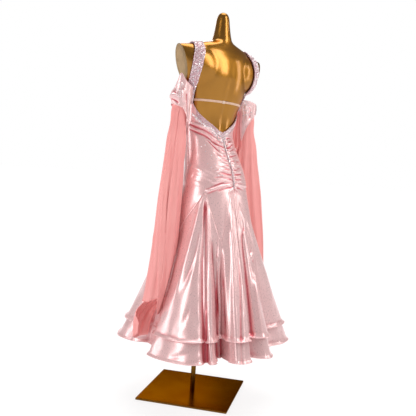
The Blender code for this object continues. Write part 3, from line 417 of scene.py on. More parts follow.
# Creases: pixels of the camera's frame that they run through, height (below zero for a trough),
# half width at the first and last pixel, and the shares over which the head and the foot fade
# (a foot of 0 runs on by CREASE_RUN_ON)
BODY_CREASES = (
    (((189.8, 121.5), (195.5, 124.0), (204.4, 126.6), (211.5, 130.8), (219.7, 137.8)),
     0.0045, 0.0050, 0.0045, (0.10, 0.2)),
    (((189.1, 123.4), (195.5, 126.9), (204.0, 130.0), (212.0, 135.0), (219.0, 141.5)),
     -0.0040, 0.0032, 0.0032, (0.10, 0.3)),
    (((188.5, 125.3), (193.0, 128.5), (198.7, 131.0), (207.6, 135.5), (214.6, 140.6), (222.9, 148.0)),
     0.0055, 0.0050, 0.0048, (0.10, 0.2)),
    (((188.5, 128.2), (196.8, 132.6), (203.2, 135.0), (209.5, 138.9), (214.6, 143.4), (221.5, 150.5)),
     -0.0055, 0.0040, 0.0040, (0.10, 0.2)),
    (((203.0, 138.0), (208.3, 141.2), (214.6, 147.4), (221.0, 153.0), (226.5, 156.8)),
     -0.0030, 0.0032, 0.0036, (0.30, 0.2)),
    (((207.0, 137.8), (214.0, 144.8), (222.0, 151.5), (226.0, 153.6)),
     0.0028, 0.0036, 0.0036, (0.30, 0.2)),
    (((213.0, 151.5), (219.7, 155.5), (228.0, 160.0)), -0.0028, 0.0034, 0.0036, (0.40, 0.2)),
    (((214.5, 166.0), (223.0, 166.8), (231.5, 167.6)), -0.0022, 0.0034, 0.0030, (0.50, 0.1)),
    (((212.5, 173.6), (218.5, 172.0), (224.8, 170.6), (231.9, 171.0)),
     0.0034, 0.0045, 0.0036, (0.30, 0.1)),
    (((212.0, 177.8), (222.0, 176.6), (232.8, 174.6)), -0.0034, 0.0040, 0.0032, (0.30, 0.1)),
    (((206.0, 183.8), (219.0, 181.2), (233.4, 177.8)), 0.0030, 0.0040, 0.0030, (0.40, 0.1)),
    (((208.0, 187.6), (219.0, 184.0), (233.4, 180.0)), -0.0036, 0.0034, 0.0028, (0.30, 0.1)),
    (((204.0, 192.0), (210.8, 190.0), (221.0, 186.4), (233.4, 183.0)),
     0.0060, 0.0052, 0.0036, (0.30, 0.1)),
    (((216.0, 191.6), (225.0, 189.0), (233.4, 186.4)), -0.0040, 0.0042, 0.0034, (0.30, 0.1)),
    (((189.5, 166.0), (204.0, 172.0), (218.0, 177.0)), 0.0040, 0.0110, 0.0090, (0.10, 0.4)),
    (((191.0, 175.4), (205.7, 181.8), (218.0, 186.0)), -0.0070, 0.0120, 0.0090, (0.10, 0.3)),
    (((223.6, 134.6), (228.0, 134.4), (233.0, 135.4)), 0.0030, 0.0042, 0.0040, (0.15, 0.0)),
    (((223.8, 138.8), (229.0, 138.4), (234.5, 139.4)), -0.0040, 0.0036, 0.0036, (0.15, 0.0)),
    (((224.6, 143.6), (231.0, 143.0), (236.3, 144.0)), 0.0044, 0.0052, 0.0046, (0.15, 0.0)),
    (((225.8, 148.8), (232.0, 147.6), (238.8, 148.8)), -0.0048, 0.0036, 0.0036, (0.15, 0.0)),
    (((227.4, 153.2), (234.0, 151.6), (240.6, 152.4)), 0.0044, 0.0046, 0.0042, (0.15, 0.0)),
    (((229.0, 157.2), (235.0, 155.6), (241.6, 156.4)), -0.0048, 0.0034, 0.0034, (0.15, 0.0)),
    (((230.6, 160.4), (237.0, 159.2), (243.0, 159.8)), 0.0036, 0.0036, 0.0036, (0.15, 0.0)),
    (((231.2, 163.2), (238.0, 162.0), (244.0, 162.6)), -0.0038, 0.0028, 0.0028, (0.15, 0.0)),
    (((232.2, 166.2), (238.0, 165.2), (244.6, 165.8)), 0.0036, 0.0036, 0.0036, (0.15, 0.0)),
    (((233.0, 169.6), (239.0, 168.4), (245.2, 168.8)), -0.0040, 0.0030, 0.0030, (0.15, 0.0)),
    (((233.6, 172.2), (240.0, 171.4), (246.0, 171.8)), 0.0032, 0.0034, 0.0034, (0.15, 0.0)),
    (((234.0, 175.2), (240.0, 174.6), (246.2, 175.0)), -0.0036, 0.0028, 0.0028, (0.15, 0.0)),
    (((234.4, 178.4), (240.0, 178.2), (246.2, 178.8)), 0.0034, 0.0034, 0.0034, (0.15, 0.0)),
    (((234.8, 181.4), (240.0, 181.6), (246.2, 182.4)), -0.0036, 0.0028, 0.0028, (0.15, 0.0)),
    (((235.2, 184.0), (240.0, 185.0), (245.8, 186.6)), 0.0036, 0.0034, 0.0034, (0.15, 0.0)),
    (((235.2, 186.2), (239.6, 188.6), (244.6, 191.6)), -0.0036, 0.0030, 0.0030, (0.15, 0.3)),
    (((235.0, 187.6), (238.0, 191.0), (240.6, 196.0)), 0.0034, 0.0034, 0.0034, (0.15, 0.4)),
    (((234.6, 188.2), (234.8, 192.0), (235.6, 198.0)), -0.0032, 0.0030, 0.0034, (0.15, 0.4)),
    (((233.6, 187.8), (231.0, 191.0), (227.6, 194.0)), 0.0030, 0.0034, 0.0034, (0.15, 0.4)),
)
SKIRT_CREASES = (
    (((205.2, 194.0), (205.3, 220.0), (205.3, 250.0), (205.3, 300.0), (205.2, 338.0)),
     -0.0120, 0.005, 0.009, (0.12, 0.0)),
    (((207.3, 200.0), (209.0, 250.0), (210.5, 300.0), (211.0, 338.0)),
     0.0070, 0.004, 0.010, (0.15, 0.0)),
    (((208.5, 196.0), (212.0, 235.0), (214.5, 270.0), (216.2, 300.0), (216.8, 338.0)),
     -0.0110, 0.005, 0.008, (0.15, 0.0)),
    (((213.0, 215.0), (217.0, 262.0), (219.4, 300.0), (220.6, 338.0)),
     0.0070, 0.005, 0.007, (0.20, 0.0)),
    (((220.5, 265.0), (222.8, 300.0), (224.0, 338.0)), -0.0150, 0.006, 0.010, (0.25, 0.0)),
    (((232.3, 199.0), (230.4, 215.0), (233.0, 260.0), (234.2, 300.0), (236.0, 338.0)),
     0.0080, 0.006, 0.016, (0.15, 0.0)),
    (((236.6, 210.0), (237.6, 240.0), (240.5, 280.0), (241.5, 338.0)),
     -0.0060, 0.005, 0.010, (0.30, 0.0)),
    (((244.8, 222.0), (243.0, 240.0), (245.8, 272.0), (248.7, 303.0), (250.5, 338.0)),
     -0.0100, 0.006, 0.010, (0.20, 0.0)),
    (((247.6, 224.0), (251.0, 257.0), (256.5, 295.0), (262.0, 334.0)),
     0.0070, 0.006, 0.014, (0.20, 0.0)),
    (((201.0, 200.0), (194.0, 230.0), (184.0, 265.0), (174.0, 300.0)),
     0.0040, 0.006, 0.012, (0.20, 0.3)),
    (((203.0, 208.0), (198.0, 240.0), (190.0, 270.0), (178.0, 300.0)),
     -0.0050, 0.006, 0.012, (0.30, 0.3)),
    (((198.0, 296.0), (195.0, 312.0), (199.0, 336.0)), -0.0030, 0.004, 0.006, (0.30, 0.3)),
    (((192.0, 300.0), (187.0, 314.0), (180.0, 330.0)), -0.0030, 0.005, 0.006, (0.30, 0.3)),
    (((158.0, 334.0), (168.0, 335.5), (180.0, 340.0)), -0.0016, 0.006, 0.008, (0.30, 0.3)),
)
BAND_CREASES = (
    (((166.0, 360.0), (182.0, 355.0), (196.0, 350.0)), -0.0024, 0.008, 0.010, (0.3, 0.3)),
    (((180.0, 364.0), (192.0, 360.0), (203.0, 354.0)), 0.0024, 0.008, 0.010, (0.3, 0.3)),
)
LEFT_SLEEVE_CREASES = (
    (((183.6, 88.0), (183.6, 98.0), (184.0, 110.0), (184.4, 122.0)), 0.0060, 0.005, 0.006, (0.1, 0.1)),
    (((180.4, 96.0), (180.6, 108.0), (181.0, 120.0)), -0.0050, 0.004, 0.004, (0.1, 0.1)),
    (((187.0, 92.0), (187.4, 106.0), (187.8, 122.0)), -0.0050, 0.004, 0.004, (0.1, 0.1)),
    (((170.0, 96.6), (174.0, 94.6), (180.0, 95.0)), 0.0040, 0.005, 0.005, (0.1, 0.3)),
    (((171.0, 99.0), (175.0, 100.4), (180.0, 103.6)), -0.0055, 0.004, 0.004, (0.1, 0.3)),
)
RIGHT_SLEEVE_CREASES = (
    (((245.0, 104.0), (246.4, 114.0), (246.4, 126.0), (244.8, 136.0)), 0.0040, 0.005, 0.006, (0.2, 0.2)),
    (((249.0, 104.0), (250.4, 112.0), (249.4, 120.0)), -0.0030, 0.004, 0.004, (0.2, 0.2)),
)
SLEEVE_SPRAYS = {"left": (176.0, 80.0, 183.0, 97.0), "right": (243.0, 101.0, 253.5, 116.0)}
# Stones on the back: single ones, and a spray below the edge (pixel and how far down it goes)
SINGLE_STONES = (
    (205.1, 144.8), (201.1, 146.7), (205.4, 151.3), (211.5, 155.2), (217.5, 156.2), (211.8, 159.0),
    (216.2, 159.0), (199.3, 160.1), (207.6, 163.8), (215.4, 164.4), (211.3, 167.3), (219.4, 169.8),
    (215.7, 169.8), (218.5, 175.5), (222.3, 175.5), (223.9, 145.1), (227.1, 159.7), (229.6, 165.8),
    (234.8, 185.4),
)
SPRAY_LINE = (
    (192.5, 113.0, 1.0), (197.0, 118.0, 2.0), (203.0, 122.0, 3.0), (211.0, 128.0, 4.5), (217.0, 132.0, 7.0),
    (221.3, 135.0, 10.0), (225.5, 132.0, 8.0), (228.7, 127.5, 5.0), (231.2, 120.0, 3.0), (233.5, 115.0, 2.0),
)
SPRAY_COUNT = 420
BODY_ROOM = 0.0032
SKIRT_ROOM = 0.05
# Painted light: a faint pink glow that lifts the chiffon's shade, in place of light passing through the
# sheer cloth
CHIFFON_GLOW = 0.06
FLOAT_LAPS = {"outer": 9.0, "inner": 0.0, "under": 0.0}
FLOAT_LAP_LIFT = 0.0035
# Right sleeve as a petal, open towards the body: angle, top height, bottom height
PETAL_EDGES = (
    (0.0, 1.302, 1.282),
    (30.0, 1.303, 1.274),
    (60.0, 1.308, 1.262),
    (90.0, 1.314, 1.244),
    (120.0, 1.320, 1.212),
    (145.0, 1.322, 1.168),
    (160.0, 1.322, 1.142),
    (170.0, 1.321, 1.190),
    (180.0, 1.320, 1.262),
    (225.0, 1.316, 1.272),
    (260.0, 1.312, 1.250),
    (310.0, 1.304, 1.262),
)
# Corners of the gathered chiffon as (x, y, z): top at the body and at the sleeve, then foot
GATHER_CORNERS = (
    (-0.143, 0.004, 1.300), (-0.156, 0.040, 1.300), (-0.129, -0.004, 1.105), (-0.165, 0.045, 1.105),
)
FLOAT_CREASES = (
    (((170.0, 112.0), (165.5, 150.0), (163.0, 200.0), (161.0, 240.0), (158.5, 284.0)),
     -0.0075, 0.004, 0.007, (0.15, 0.0)),
    (((174.0, 108.0), (170.5, 150.0), (168.5, 200.0), (166.5, 250.0), (164.0, 290.0)),
     0.0040, 0.005, 0.008, (0.2, 0.0)),
    (((180.0, 135.0), (177.0, 180.0), (175.0, 230.0), (171.0, 280.0)),
     -0.0035, 0.004, 0.007, (0.3, 0.2)),
    (((167.0, 115.0), (160.0, 170.0), (154.0, 230.0), (151.0, 280.0)),
     -0.0030, 0.004, 0.006, (0.2, 0.2)),
)
GATHER_PLEATS = 3.0
GATHER_PLEAT = 0.006
CREASE_RUN_ON = 0.13
FLOOR_GLOW = 0.82

# ---------------------------------------------------------------------------
# Numbers: smooth curves through tables, on whole arrays at once
# ---------------------------------------------------------------------------

def curve(keys, values, at):
    """Smooth curve through the points that never overshoots them."""
    keys, values = np.asarray(keys, float), np.asarray(values, float)
    step = np.diff(keys)
    rise = np.diff(values) / step
    slopes = np.zeros_like(values)
    slopes[0], slopes[-1] = rise[0], rise[-1]
    both = rise[:-1] * rise[1:]
    total = np.where(both > 0.0, rise[:-1] + rise[1:], 1.0)
    slopes[1:-1] = np.where(both > 0.0, 2.0 * both / total, 0.0)
    at = np.clip(at, keys[0], keys[-1])
    i = np.clip(np.searchsorted(keys, at, side="right") - 1, 0, len(keys) - 2)
    s = (at - keys[i]) / step[i]
    return (
        (1 + 2 * s) * (1 - s) ** 2 * values[i] + s * (1 - s) ** 2 * step[i] * slopes[i]
        + s * s * (3 - 2 * s) * values[i + 1] + s * s * (s - 1) * step[i] * slopes[i + 1]
    )


def table(rows, column, at):
    return curve([row[0] for row in rows], [row[column] for row in rows], at)


def ease(value):
    value = np.clip(value, 0.0, 1.0)
    return value * value * (3.0 - 2.0 * value)


def mix(first, last, share):
    return first + (last - first) * share


def ring(rows):
    """Rows of (angle, values...) with two more at each end, so that a curve closes."""
    before = [(row[0] - 360.0,) + tuple(row[1:]) for row in rows[-2:]]
    after = [(row[0] + 360.0,) + tuple(row[1:]) for row in rows[:2]]
    return before + list(rows) + after


def noise(points, size, seed=0):
    """Smooth value noise from -1 to 1; size is the grain in metres, one number or three."""
    q = points / np.asarray(size, float) + seed * 17.31
    cell = np.floor(q)
    f = q - cell
    f = f * f * (3.0 - 2.0 * f)
    cell = cell.astype(np.int64)
    total = 0.0
    for dx in (0, 1):
        for dy in (0, 1):
            for dz in (0, 1):
                key = (cell[..., 0] + dx) * 73856093
                key = key ^ ((cell[..., 1] + dy) * 19349663)
                key = key ^ ((cell[..., 2] + dz) * 83492791)
                key = (key ^ (key >> 13)) * 1274126177 & 0xFFFFFF
                value = key / float(0x7FFFFF) - 1.0
                weight = (f[..., 0] if dx else 1 - f[..., 0])
                weight = weight * (f[..., 1] if dy else 1 - f[..., 1])
                weight = weight * (f[..., 2] if dz else 1 - f[..., 2])
                total = total + weight * value
    return total


# ---------------------------------------------------------------------------
# Surfaces: the form and the worn dress
# ---------------------------------------------------------------------------

def centre_y(z):
    share = np.clip((FLARE_TOP - z) / (FLARE_TOP - BAND_HEM), 0.0, 1.0)
    hip = table(FORM_LEVELS, 4, FLARE_TOP)
    return np.where(z >= FLARE_TOP, table(FORM_LEVELS, 4, z), mix(hip, HEM_CENTRE_Y, share))


def trunk_radius(angle, z):
    turn = np.radians(angle)
    half_width = table(FORM_LEVELS, 1, z)
    middle = table(FORM_LEVELS, 4, z)
    back = table(FORM_LEVELS, 3, z) - middle
    front = middle - table(FORM_LEVELS, 2, z)
    half_depth = np.where(np.sin(turn) >= 0.0, back, front)
    return 1.0 / np.hypot(np.cos(turn) / half_width, np.sin(turn) / half_depth)


def form_radius(angle, z):
    away = (angle - 90.0) / SPINE_WIDTH
    height = (z - SPINE_HEIGHT) / SPINE_REACH
    return trunk_radius(angle, z) - SPINE_DEPTH * np.exp(-away * away - height * height)


def hem_angle_of(hip_angle, z):
    share = np.clip((FLARE_TOP - z) / (FLARE_TOP - BAND_HEM), 0.0, 1.0)
    rows = ring([(row[0], row[1] - row[0]) for row in FOLDS])
    return hip_angle + table(rows, 1, hip_angle) * share


def radius_rows():
    """Radius of the worn surface for every angle (columns) and height (rows)."""
    angles = np.arange(TABLE_ANGLES) * (360.0 / (TABLE_ANGLES - 1))
    heights = np.arange(TABLE_FOOT, TABLE_HEAD, TABLE_STEP)
    rows = []
    for z in heights:
        if z >= FLARE_TOP:
            rows.append(trunk_radius(angles, z))
            continue
        share = (FLARE_TOP - z) / (FLARE_TOP - BAND_HEM)
        hip = trunk_radius(angles, FLARE_TOP)
        lines = ring([
            (mix(a, b, share), out * max(start - z, 0.0) / (start - BAND_HEM))
            for a, b, start, out in FOLDS
        ])
        folds = table(lines, 1, np.where(angles > lines[-3][0], angles - 360.0, angles))
        rows.append(hip + (HEM_RADIUS - hip) * share ** FLARE_POWER + folds)
    return np.array(rows)


RADII = radius_rows()


def dress_radius(angle, z):
    """Worn radius at an angle and height, read off the rows."""
    a = (np.asarray(angle, float) % 360.0) / 360.0 * (TABLE_ANGLES - 1)
    h = np.clip((z - TABLE_FOOT) / TABLE_STEP, 0.0, len(RADII) - 1.001)
    a, h = np.broadcast_arrays(a, h)
    i = np.minimum(a.astype(int), TABLE_ANGLES - 2)
    j = h.astype(int)
    s, t = a - i, h - j
    low = RADII[j, i] * (1 - s) + RADII[j, i + 1] * s
    high = RADII[j + 1, i] * (1 - s) + RADII[j + 1, i + 1] * s
    return low * (1 - t) + high * t


def dress_point(hip_angle, z):
    """Inner face of the dress's cloth."""
    hip_angle, z = np.broadcast_arrays(np.asarray(hip_angle, float), np.asarray(z, float))
    angle = hem_angle_of((hip_angle + 10.0) % 360.0 - 10.0, z)
    radius = dress_radius(angle, z) + CLOTH_EASE
    turn = np.radians(angle)
    return np.stack([radius * np.cos(turn), centre_y(z) + radius * np.sin(turn), z], -1)


def outward(surface, u, v, step_u, step_v):
    along_u = surface(u + step_u, v) - surface(u - step_u, v)
    along_v = surface(u, v + step_v) - surface(u, v - step_v)
    normal = np.cross(along_u, along_v)
    return normal / np.linalg.norm(normal, axis=-1, keepdims=True)


def dress_normal(hip_angle, z):
    return outward(dress_point, hip_angle, z, 0.4, 0.004)


def top_edge(angle):
    angle = (angle + 90.0) % 360.0 - 90.0
    return table(TOP_EDGE, 1, np.where(angle > 90.0, 180.0 - angle, angle))


def yoke_line(angle):
    rows = list(YOKE_LINE) + [(YOKE_LINE[0][0] + 360.0, YOKE_LINE[0][1])]
    turned = (angle - rows[0][0]) % 360.0 + rows[0][0]
    return np.interp(turned, [row[0] for row in rows], [row[1] for row in rows])


def panel_row(share, angle):
    """Height on a body panel: an even edge strip, the hip line, then down to the yoke line."""
    strip = top_edge(angle) - EDGE_BAND_WIDTH
    top = strip + EDGE_BAND_WIDTH * (1.0 - share / EDGE_SHARE)
    middle = mix(strip, HIP_LINE, (share - EDGE_SHARE) / (HIP_SHARE - EDGE_SHARE))
    foot = mix(HIP_LINE, yoke_line(angle) + SEAM_GAP, (share - HIP_SHARE) / (1.0 - HIP_SHARE))
    return np.where(share < EDGE_SHARE, top, np.where(share < HIP_SHARE, middle, foot))


def kick(z, hem, amount):
    return amount * np.clip(1.0 - (z - hem) / KICK_HEIGHT, 0.0, 1.0) ** 2


def dress_depth(points):
    middle = centre_y(points[..., 2])
    y = points[..., 1] - middle
    angle = np.degrees(np.arctan2(y, points[..., 0]))
    return np.hypot(points[..., 0], y) - dress_radius(angle, points[..., 2])


def clear_of_dress(points, gap, side, away=None):
    """Points given on the left, moved level until they clear the cloth on the stated side."""
    flip = np.array([side, 1.0, 1.0])
    points = points * flip
    least = CLOTH_EASE + CLOTH_WALL + gap
    if away is not None:
        away = away * flip
        straight = ease((FLOAT_FREE - points[..., 2]) / FLOAT_FREE_SPAN)[..., None]
    step = 0.001
    for _ in range(12):
        depth = dress_depth(points)
        along_x = (dress_depth(points + np.array([step, 0.0, 0.0])) - depth) / step
        along_y = (dress_depth(points + np.array([0.0, step, 0.0])) - depth) / step
        slope = np.stack([along_x, along_y, 0.0 * depth], -1)
        size = np.maximum(np.hypot(along_x, along_y), 0.5)
        way = slope / size[..., None]
        if away is not None:
            way = mix(way, away, straight)
        gain = np.maximum((slope * way).sum(-1), 0.5)
        push = np.maximum(least * size - depth, 0.0) / gain
        points = points + way * push[..., None]
    return points * flip


def sleeve_edges(edges, angle):
    rows = ring(edges)
    angle = angle % 360.0
    return table(rows, 1, angle), table(rows, 2, angle)


def sleeve_point(angle, z, side):
    angle, z = np.broadcast_arrays(np.asarray(angle, float), np.asarray(z, float))
    turn = np.radians(angle)
    off = (angle + 180.0) % 360.0 - 180.0
    tip = SLEEVE_TIP * np.exp(
        -((off / SLEEVE_TIP_ANGLE) ** 2) - ((z - SLEEVE_TIP_HEIGHT) / SLEEVE_TIP_SPREAD) ** 2
    )
    out, depth, body = (table(SLEEVE_LEVELS, c, z) for c in (1, 2, 3))
    reach = np.where(np.cos(turn) > 0.0, out, body)
    spot = np.stack([
        SLEEVE_X + reach * np.cos(turn) + tip, SLEEVE_Y + depth * np.sin(turn), z,
    ], -1)
    return clear_of_dress(spot, SLEEVE_GAP, side)


def sleeve_normal(angle, z, side):
    return outward(lambda u, v: sleeve_point(u, v, side), angle, z, 1.0, 0.003)


def float_point(angle, z, inset, side):
    """Middle of the chiffon's wall, before its gathers."""
    angle, z = np.broadcast_arrays(np.asarray(angle, float), np.asarray(z, float))
    turn = np.radians(angle)
    columns = [table(FLOAT_LEVELS, c, np.minimum(z, FLOAT_LEVELS[-1][0])) for c in range(1, 6)]
    centre_x, middle_y, long_half, short_half, axis = columns
    if side < 0.0:
        centre_x = centre_x - FLOAT_RIGHT_DRAWN_IN * ease((FLOAT_FREE - z) / FLOAT_FREE_SPAN)
    tilt = np.radians(axis)
    slack = inset * ease((INSET_TOP - z) / INSET_TOP_SPAN) * ease((z - INSET_FOOT) / INSET_FOOT_SPAN)
    lift = ease((FLOAT_SEWN - z) / PULL_TOP_SPAN) * ease((z - PULL_FOOT) / PULL_FOOT_SPAN)
    along = (long_half - slack) * np.cos(turn - tilt)
    beside = (short_half - slack) * np.sin(turn - tilt)
    inward = FLOAT_INWARD * lift * np.maximum(0.0, -np.cos(turn))
    loose = np.stack([
        centre_x + along * np.cos(tilt) - beside * np.sin(tilt) - inward,
        middle_y + along * np.sin(tilt) + beside * np.cos(tilt),
        z,
    ], -1)
    away = np.stack([centre_x, middle_y - centre_y(z), 0.0 * z], -1)
    away /= np.linalg.norm(away, axis=-1, keepdims=True)
    free = clear_of_dress(loose, table(FLOAT_CLEARANCES, 1, z), side, away)
    height = np.maximum(z, FLOAT_SEWN)
    facing = np.cos(turn - math.radians(FLOAT_FRONT_ANGLE))
    depth = mix(FLOAT_JOIN_GAP, FLOAT_FRONT_GAP, ease((facing - 0.5) / 0.3))
    depth = (depth + CLOTH_WALL + CHIFFON_WALL / 2)[..., None]
    sewn = sleeve_point(angle, height, side) - sleeve_normal(angle, height, side) * depth
    sewn = np.stack([sewn[..., 0], sewn[..., 1], z], -1)
    joined = ease((z - FLOAT_JOIN) / (FLOAT_SEWN - FLOAT_JOIN))[..., None]
    return np.where(joined > 0.0, mix(loose, sewn, joined), free)


def float_grid(row, side, columns, shares):
    """Middle of a float's cloth, rows by their share of the drop, in even steps round the curve."""
    name, first, last_top, last_foot, inset = row[:5]
    place = np.linspace(0.0, 1.0, FLOAT_SAMPLES + 1)[None]
    z = mix(FLOAT_TOP, curve((0.0, 0.5, 1.0), row[5:8], place), np.asarray(shares)[:, None])
    spread = ease((UNDER_SPREAD_TOP - z) / (UNDER_SPREAD_TOP - UNDER_SPREAD_FOOT))
    fine = float_point(mix(first, mix(last_top, last_foot, spread), place), z, inset, side)
    grid = []
    for line in fine:
        steps = np.linalg.norm(np.diff(line, axis=0), axis=1)
        lengths = np.concatenate([[0.0], np.cumsum(steps)])
        at = np.linspace(0.0, lengths[-1], columns)
        reach = np.minimum(np.minimum(at, lengths[-1] - at), FLOAT_SOFT)
        spots = np.array([
            [np.interp(at + reach * k, lengths, line[:, axis]) for axis in range(3)]
            for k in (-1.0, -0.5, 0.0, 0.5, 1.0)
        ])
        soft = ease((FLOAT_FREE - spots[2][2]) / FLOAT_FREE_SPAN)
        grid.append(mix(spots[2], spots.mean(0), soft).T)
    return np.array(grid)


def grid_normals(points, closed=False):
    """Normals of a grid of points, rows going down and columns going round."""
    down = np.gradient(points, axis=0)
    if closed:
        round_ = (np.roll(points, -1, 1) - np.roll(points, 1, 1)) / 2
    else:
        round_ = np.gradient(points, axis=1)
    normal = np.cross(down, round_)
    return normal / np.maximum(np.linalg.norm(normal, axis=-1, keepdims=True), 1e-9)


# ---------------------------------------------------------------------------
# Materials
# ---------------------------------------------------------------------------

class Nodes:
    """A material's node tree, with short calls to add and join nodes."""

    def __init__(self, name):
        self.material = bpy.data.materials.new(name)
        self.material.use_nodes = True
        self.tree = self.material.node_tree
        self.shader = self.tree.nodes["Principled BSDF"]
        self.place = self.add("ShaderNodeTexCoord").outputs["Object"]

    def add(self, kind, **values):
        node = self.tree.nodes.new(kind)
        for key, value in values.items():
            setattr(node, key, value)
        return node

    def join(self, source, target):
        self.tree.links.new(source, target)

    def set(self, **values):
        for key, value in values.items():
            self.shader.inputs[key.replace("_", " ")].default_value = value

    def noise(self, scale, detail=2.0, stretch=(1.0, 1.0, 1.0), rough=0.5):
        mapping = self.add("ShaderNodeMapping")
        mapping.inputs["Scale"].default_value = stretch
        self.join(self.place, mapping.inputs["Vector"])
        node = self.add("ShaderNodeTexNoise")
        node.inputs["Scale"].default_value = scale
        node.inputs["Detail"].default_value = detail
        node.inputs["Roughness"].default_value = rough
        self.join(mapping.outputs["Vector"], node.inputs["Vector"])
        return node.outputs["Fac"]

    def voronoi(self, scale, feature="F1", output="Distance"):
        node = self.add("ShaderNodeTexVoronoi", feature=feature)
        node.inputs["Scale"].default_value = scale
        self.join(self.place, node.inputs["Vector"])
        return node.outputs[output]

    def ramp(self, factor, *stops):
        node = self.add("ShaderNodeValToRGB")
        elements = node.color_ramp.elements
        while len(elements) < len(stops):
            elements.new(0.5)
        for element, (at, colour) in zip(elements, stops):
            element.position = at
            element.color = (*colour, 1.0)
        self.join(factor, node.inputs["Fac"])
        return node.outputs["Color"]

    def blend(self, factor, first, second, mode="MIX"):
        node = self.add("ShaderNodeMix", data_type="RGBA", blend_type=mode)
        for value, socket in ((factor, 0), (first, 6), (second, 7)):
            if hasattr(value, "is_linked"):
                self.join(value, node.inputs[socket])
            elif socket == 0:
                node.inputs[socket].default_value = value
            else:
                node.inputs[socket].default_value = (*value, 1.0)
        return node.outputs[2]

    def facing(self, blend):
        node = self.add("ShaderNodeLayerWeight")
        node.inputs["Blend"].default_value = blend
        return node.outputs["Facing"]

    def bump(self, *heights):
        """Bumps one on another: (height, strength, distance in metres)."""
        normal = None
        for height, strength, distance in heights:
            node = self.add("ShaderNodeBump")
            node.inputs["Strength"].default_value = strength
            node.inputs["Distance"].default_value = distance
            self.join(height, node.inputs["Height"])
            if normal is not None:
                self.join(normal, node.inputs["Normal"])
            normal = node.outputs["Normal"]
        self.join(normal, self.shader.inputs["Normal"])

    def colour(self, socket):
        self.join(socket, self.shader.inputs["Base Color"])

    def rough(self, factor, low, high):
        node = self.add("ShaderNodeMapRange")
        node.inputs["To Min"].default_value = low
        node.inputs["To Max"].default_value = high
        self.join(factor, node.inputs["Value"])
        self.join(node.outputs["Result"], self.shader.inputs["Roughness"])


def satin_material():
    m = Nodes("pink_satin")
    patches = m.noise(9.0, 3.0)
    threads = m.noise(420.0, 1.0, (1.0, 1.0, 0.12))
    base = m.ramp(patches, (0.30, (0.87, 0.55, 0.555)), (0.70, (0.91, 0.60, 0.605)))
    # Painted shade: the satin turns deep red in its folds by how far each point lies in a hollow, in place
    # of the shade and coloured light that real folds hold
    painted_fold_shade = m.add("ShaderNodeAttribute", attribute_name="painted_fold_shade").outputs["Fac"]
    deep = m.ramp(painted_fold_shade, (0.05, (0.0, 0.0, 0.0)), (0.45, (1.0, 1.0, 1.0)))
    m.colour(m.blend(deep, base, (0.66, 0.12, 0.15)))
    m.rough(threads, 0.25, 0.32)
    m.bump((m.noise(26.0, 3.0, (1.0, 1.0, 0.45)), 0.15, 0.0020), (threads, 0.10, 0.0003))
    m.set(Metallic=0.36, IOR=1.6, Specular_IOR_Level=0.9)
    return m.material


def chiffon_material():
    m = Nodes("salmon_chiffon")
    patches = m.noise(6.0, 2.0)
    crepe = m.noise(900.0, 2.0)
    base = m.ramp(patches, (0.3, (0.86, 0.345, 0.33)), (0.7, (0.90, 0.40, 0.38)))
    # Painted shade: the chiffon's colour turns deeper and darker where the cloth turns edge-on to the view
    m.colour(m.blend(m.facing(0.25), base, (0.84, 0.25, 0.25)))
    m.bump((m.noise(60.0, 2.0, (1.0, 1.0, 0.05)), 0.25, 0.0012), (crepe, 0.15, 0.0003))
    m.set(Roughness=0.85, Specular_IOR_Level=0.25)
    m.set(Sheen_Weight=0.35, Sheen_Roughness=0.5)
    # Painted light: a faint pink glow that lifts the chiffon's shade, in place of light passing through it
    m.set(Emission_Color=(0.95, 0.36, 0.34, 1.0), Emission_Strength=CHIFFON_GLOW)
    return m.material


def gold_material(name, dark, light, low, high, coat, tint):
    m = Nodes(name)
    m.colour(m.ramp(m.noise(9.0, 2.0), (0.35, dark), (0.65, light)))
    m.rough(m.noise(60.0, 2.0), low, high)
    m.set(Metallic=1.0, Coat_Weight=coat, Coat_Roughness=0.16, Specular_Tint=(*tint, 1.0))
    return m.material


def cap_material():
    m = Nodes("arm_cap_face")
    m.colour(m.ramp(m.noise(40.0, 3.0), (0.3, (0.26, 0.17, 0.085)), (0.7, (0.33, 0.22, 0.115))))
    m.rough(m.noise(120.0, 2.0), 0.38, 0.50)
    m.bump((m.noise(300.0, 2.0), 0.05, 0.0004),)
    m.set(Metallic=0.6)
    return m.material


def band_material():
    """Pink satin ground of the straps and trims, close set with tiny silver beads."""
    m = Nodes("beaded_pink")
    beads = m.voronoi(330.0)
    ground = m.ramp(m.voronoi(330.0, output="Color"), (0.2, (0.62, 0.36, 0.40)), (0.8, (0.80, 0.58, 0.61)))
    m.colour(m.blend(m.ramp(beads, (0.25, (1.0, 1.0, 1.0)), (0.55, (0.0, 0.0, 0.0))),
                     (0.42, 0.22, 0.26), ground))
    m.bump((m.ramp(beads, (0.0, (1.0, 1.0, 1.0)), (0.6, (0.0, 0.0, 0.0))), 0.7, 0.0010),)
    m.set(Metallic=0.25, Roughness=0.32, Sheen_Weight=0.2)
    return m.material


def stone_material(name, colours, metallic):
    m = Nodes(name)
    pick = m.voronoi(190.0, output="Color")
    stops = [(i / (len(colours) - 1), colour) for i, colour in enumerate(colours)]
    split = m.add("ShaderNodeSeparateColor")
    m.join(pick, split.inputs["Color"])
    m.colour(m.ramp(split.outputs["Red"], *stops))
    m.rough(m.noise(300.0), 0.06, 0.16)
    m.set(Metallic=metallic, Coat_Weight=1.0, Coat_Roughness=0.03, IOR=1.8)
    return m.material


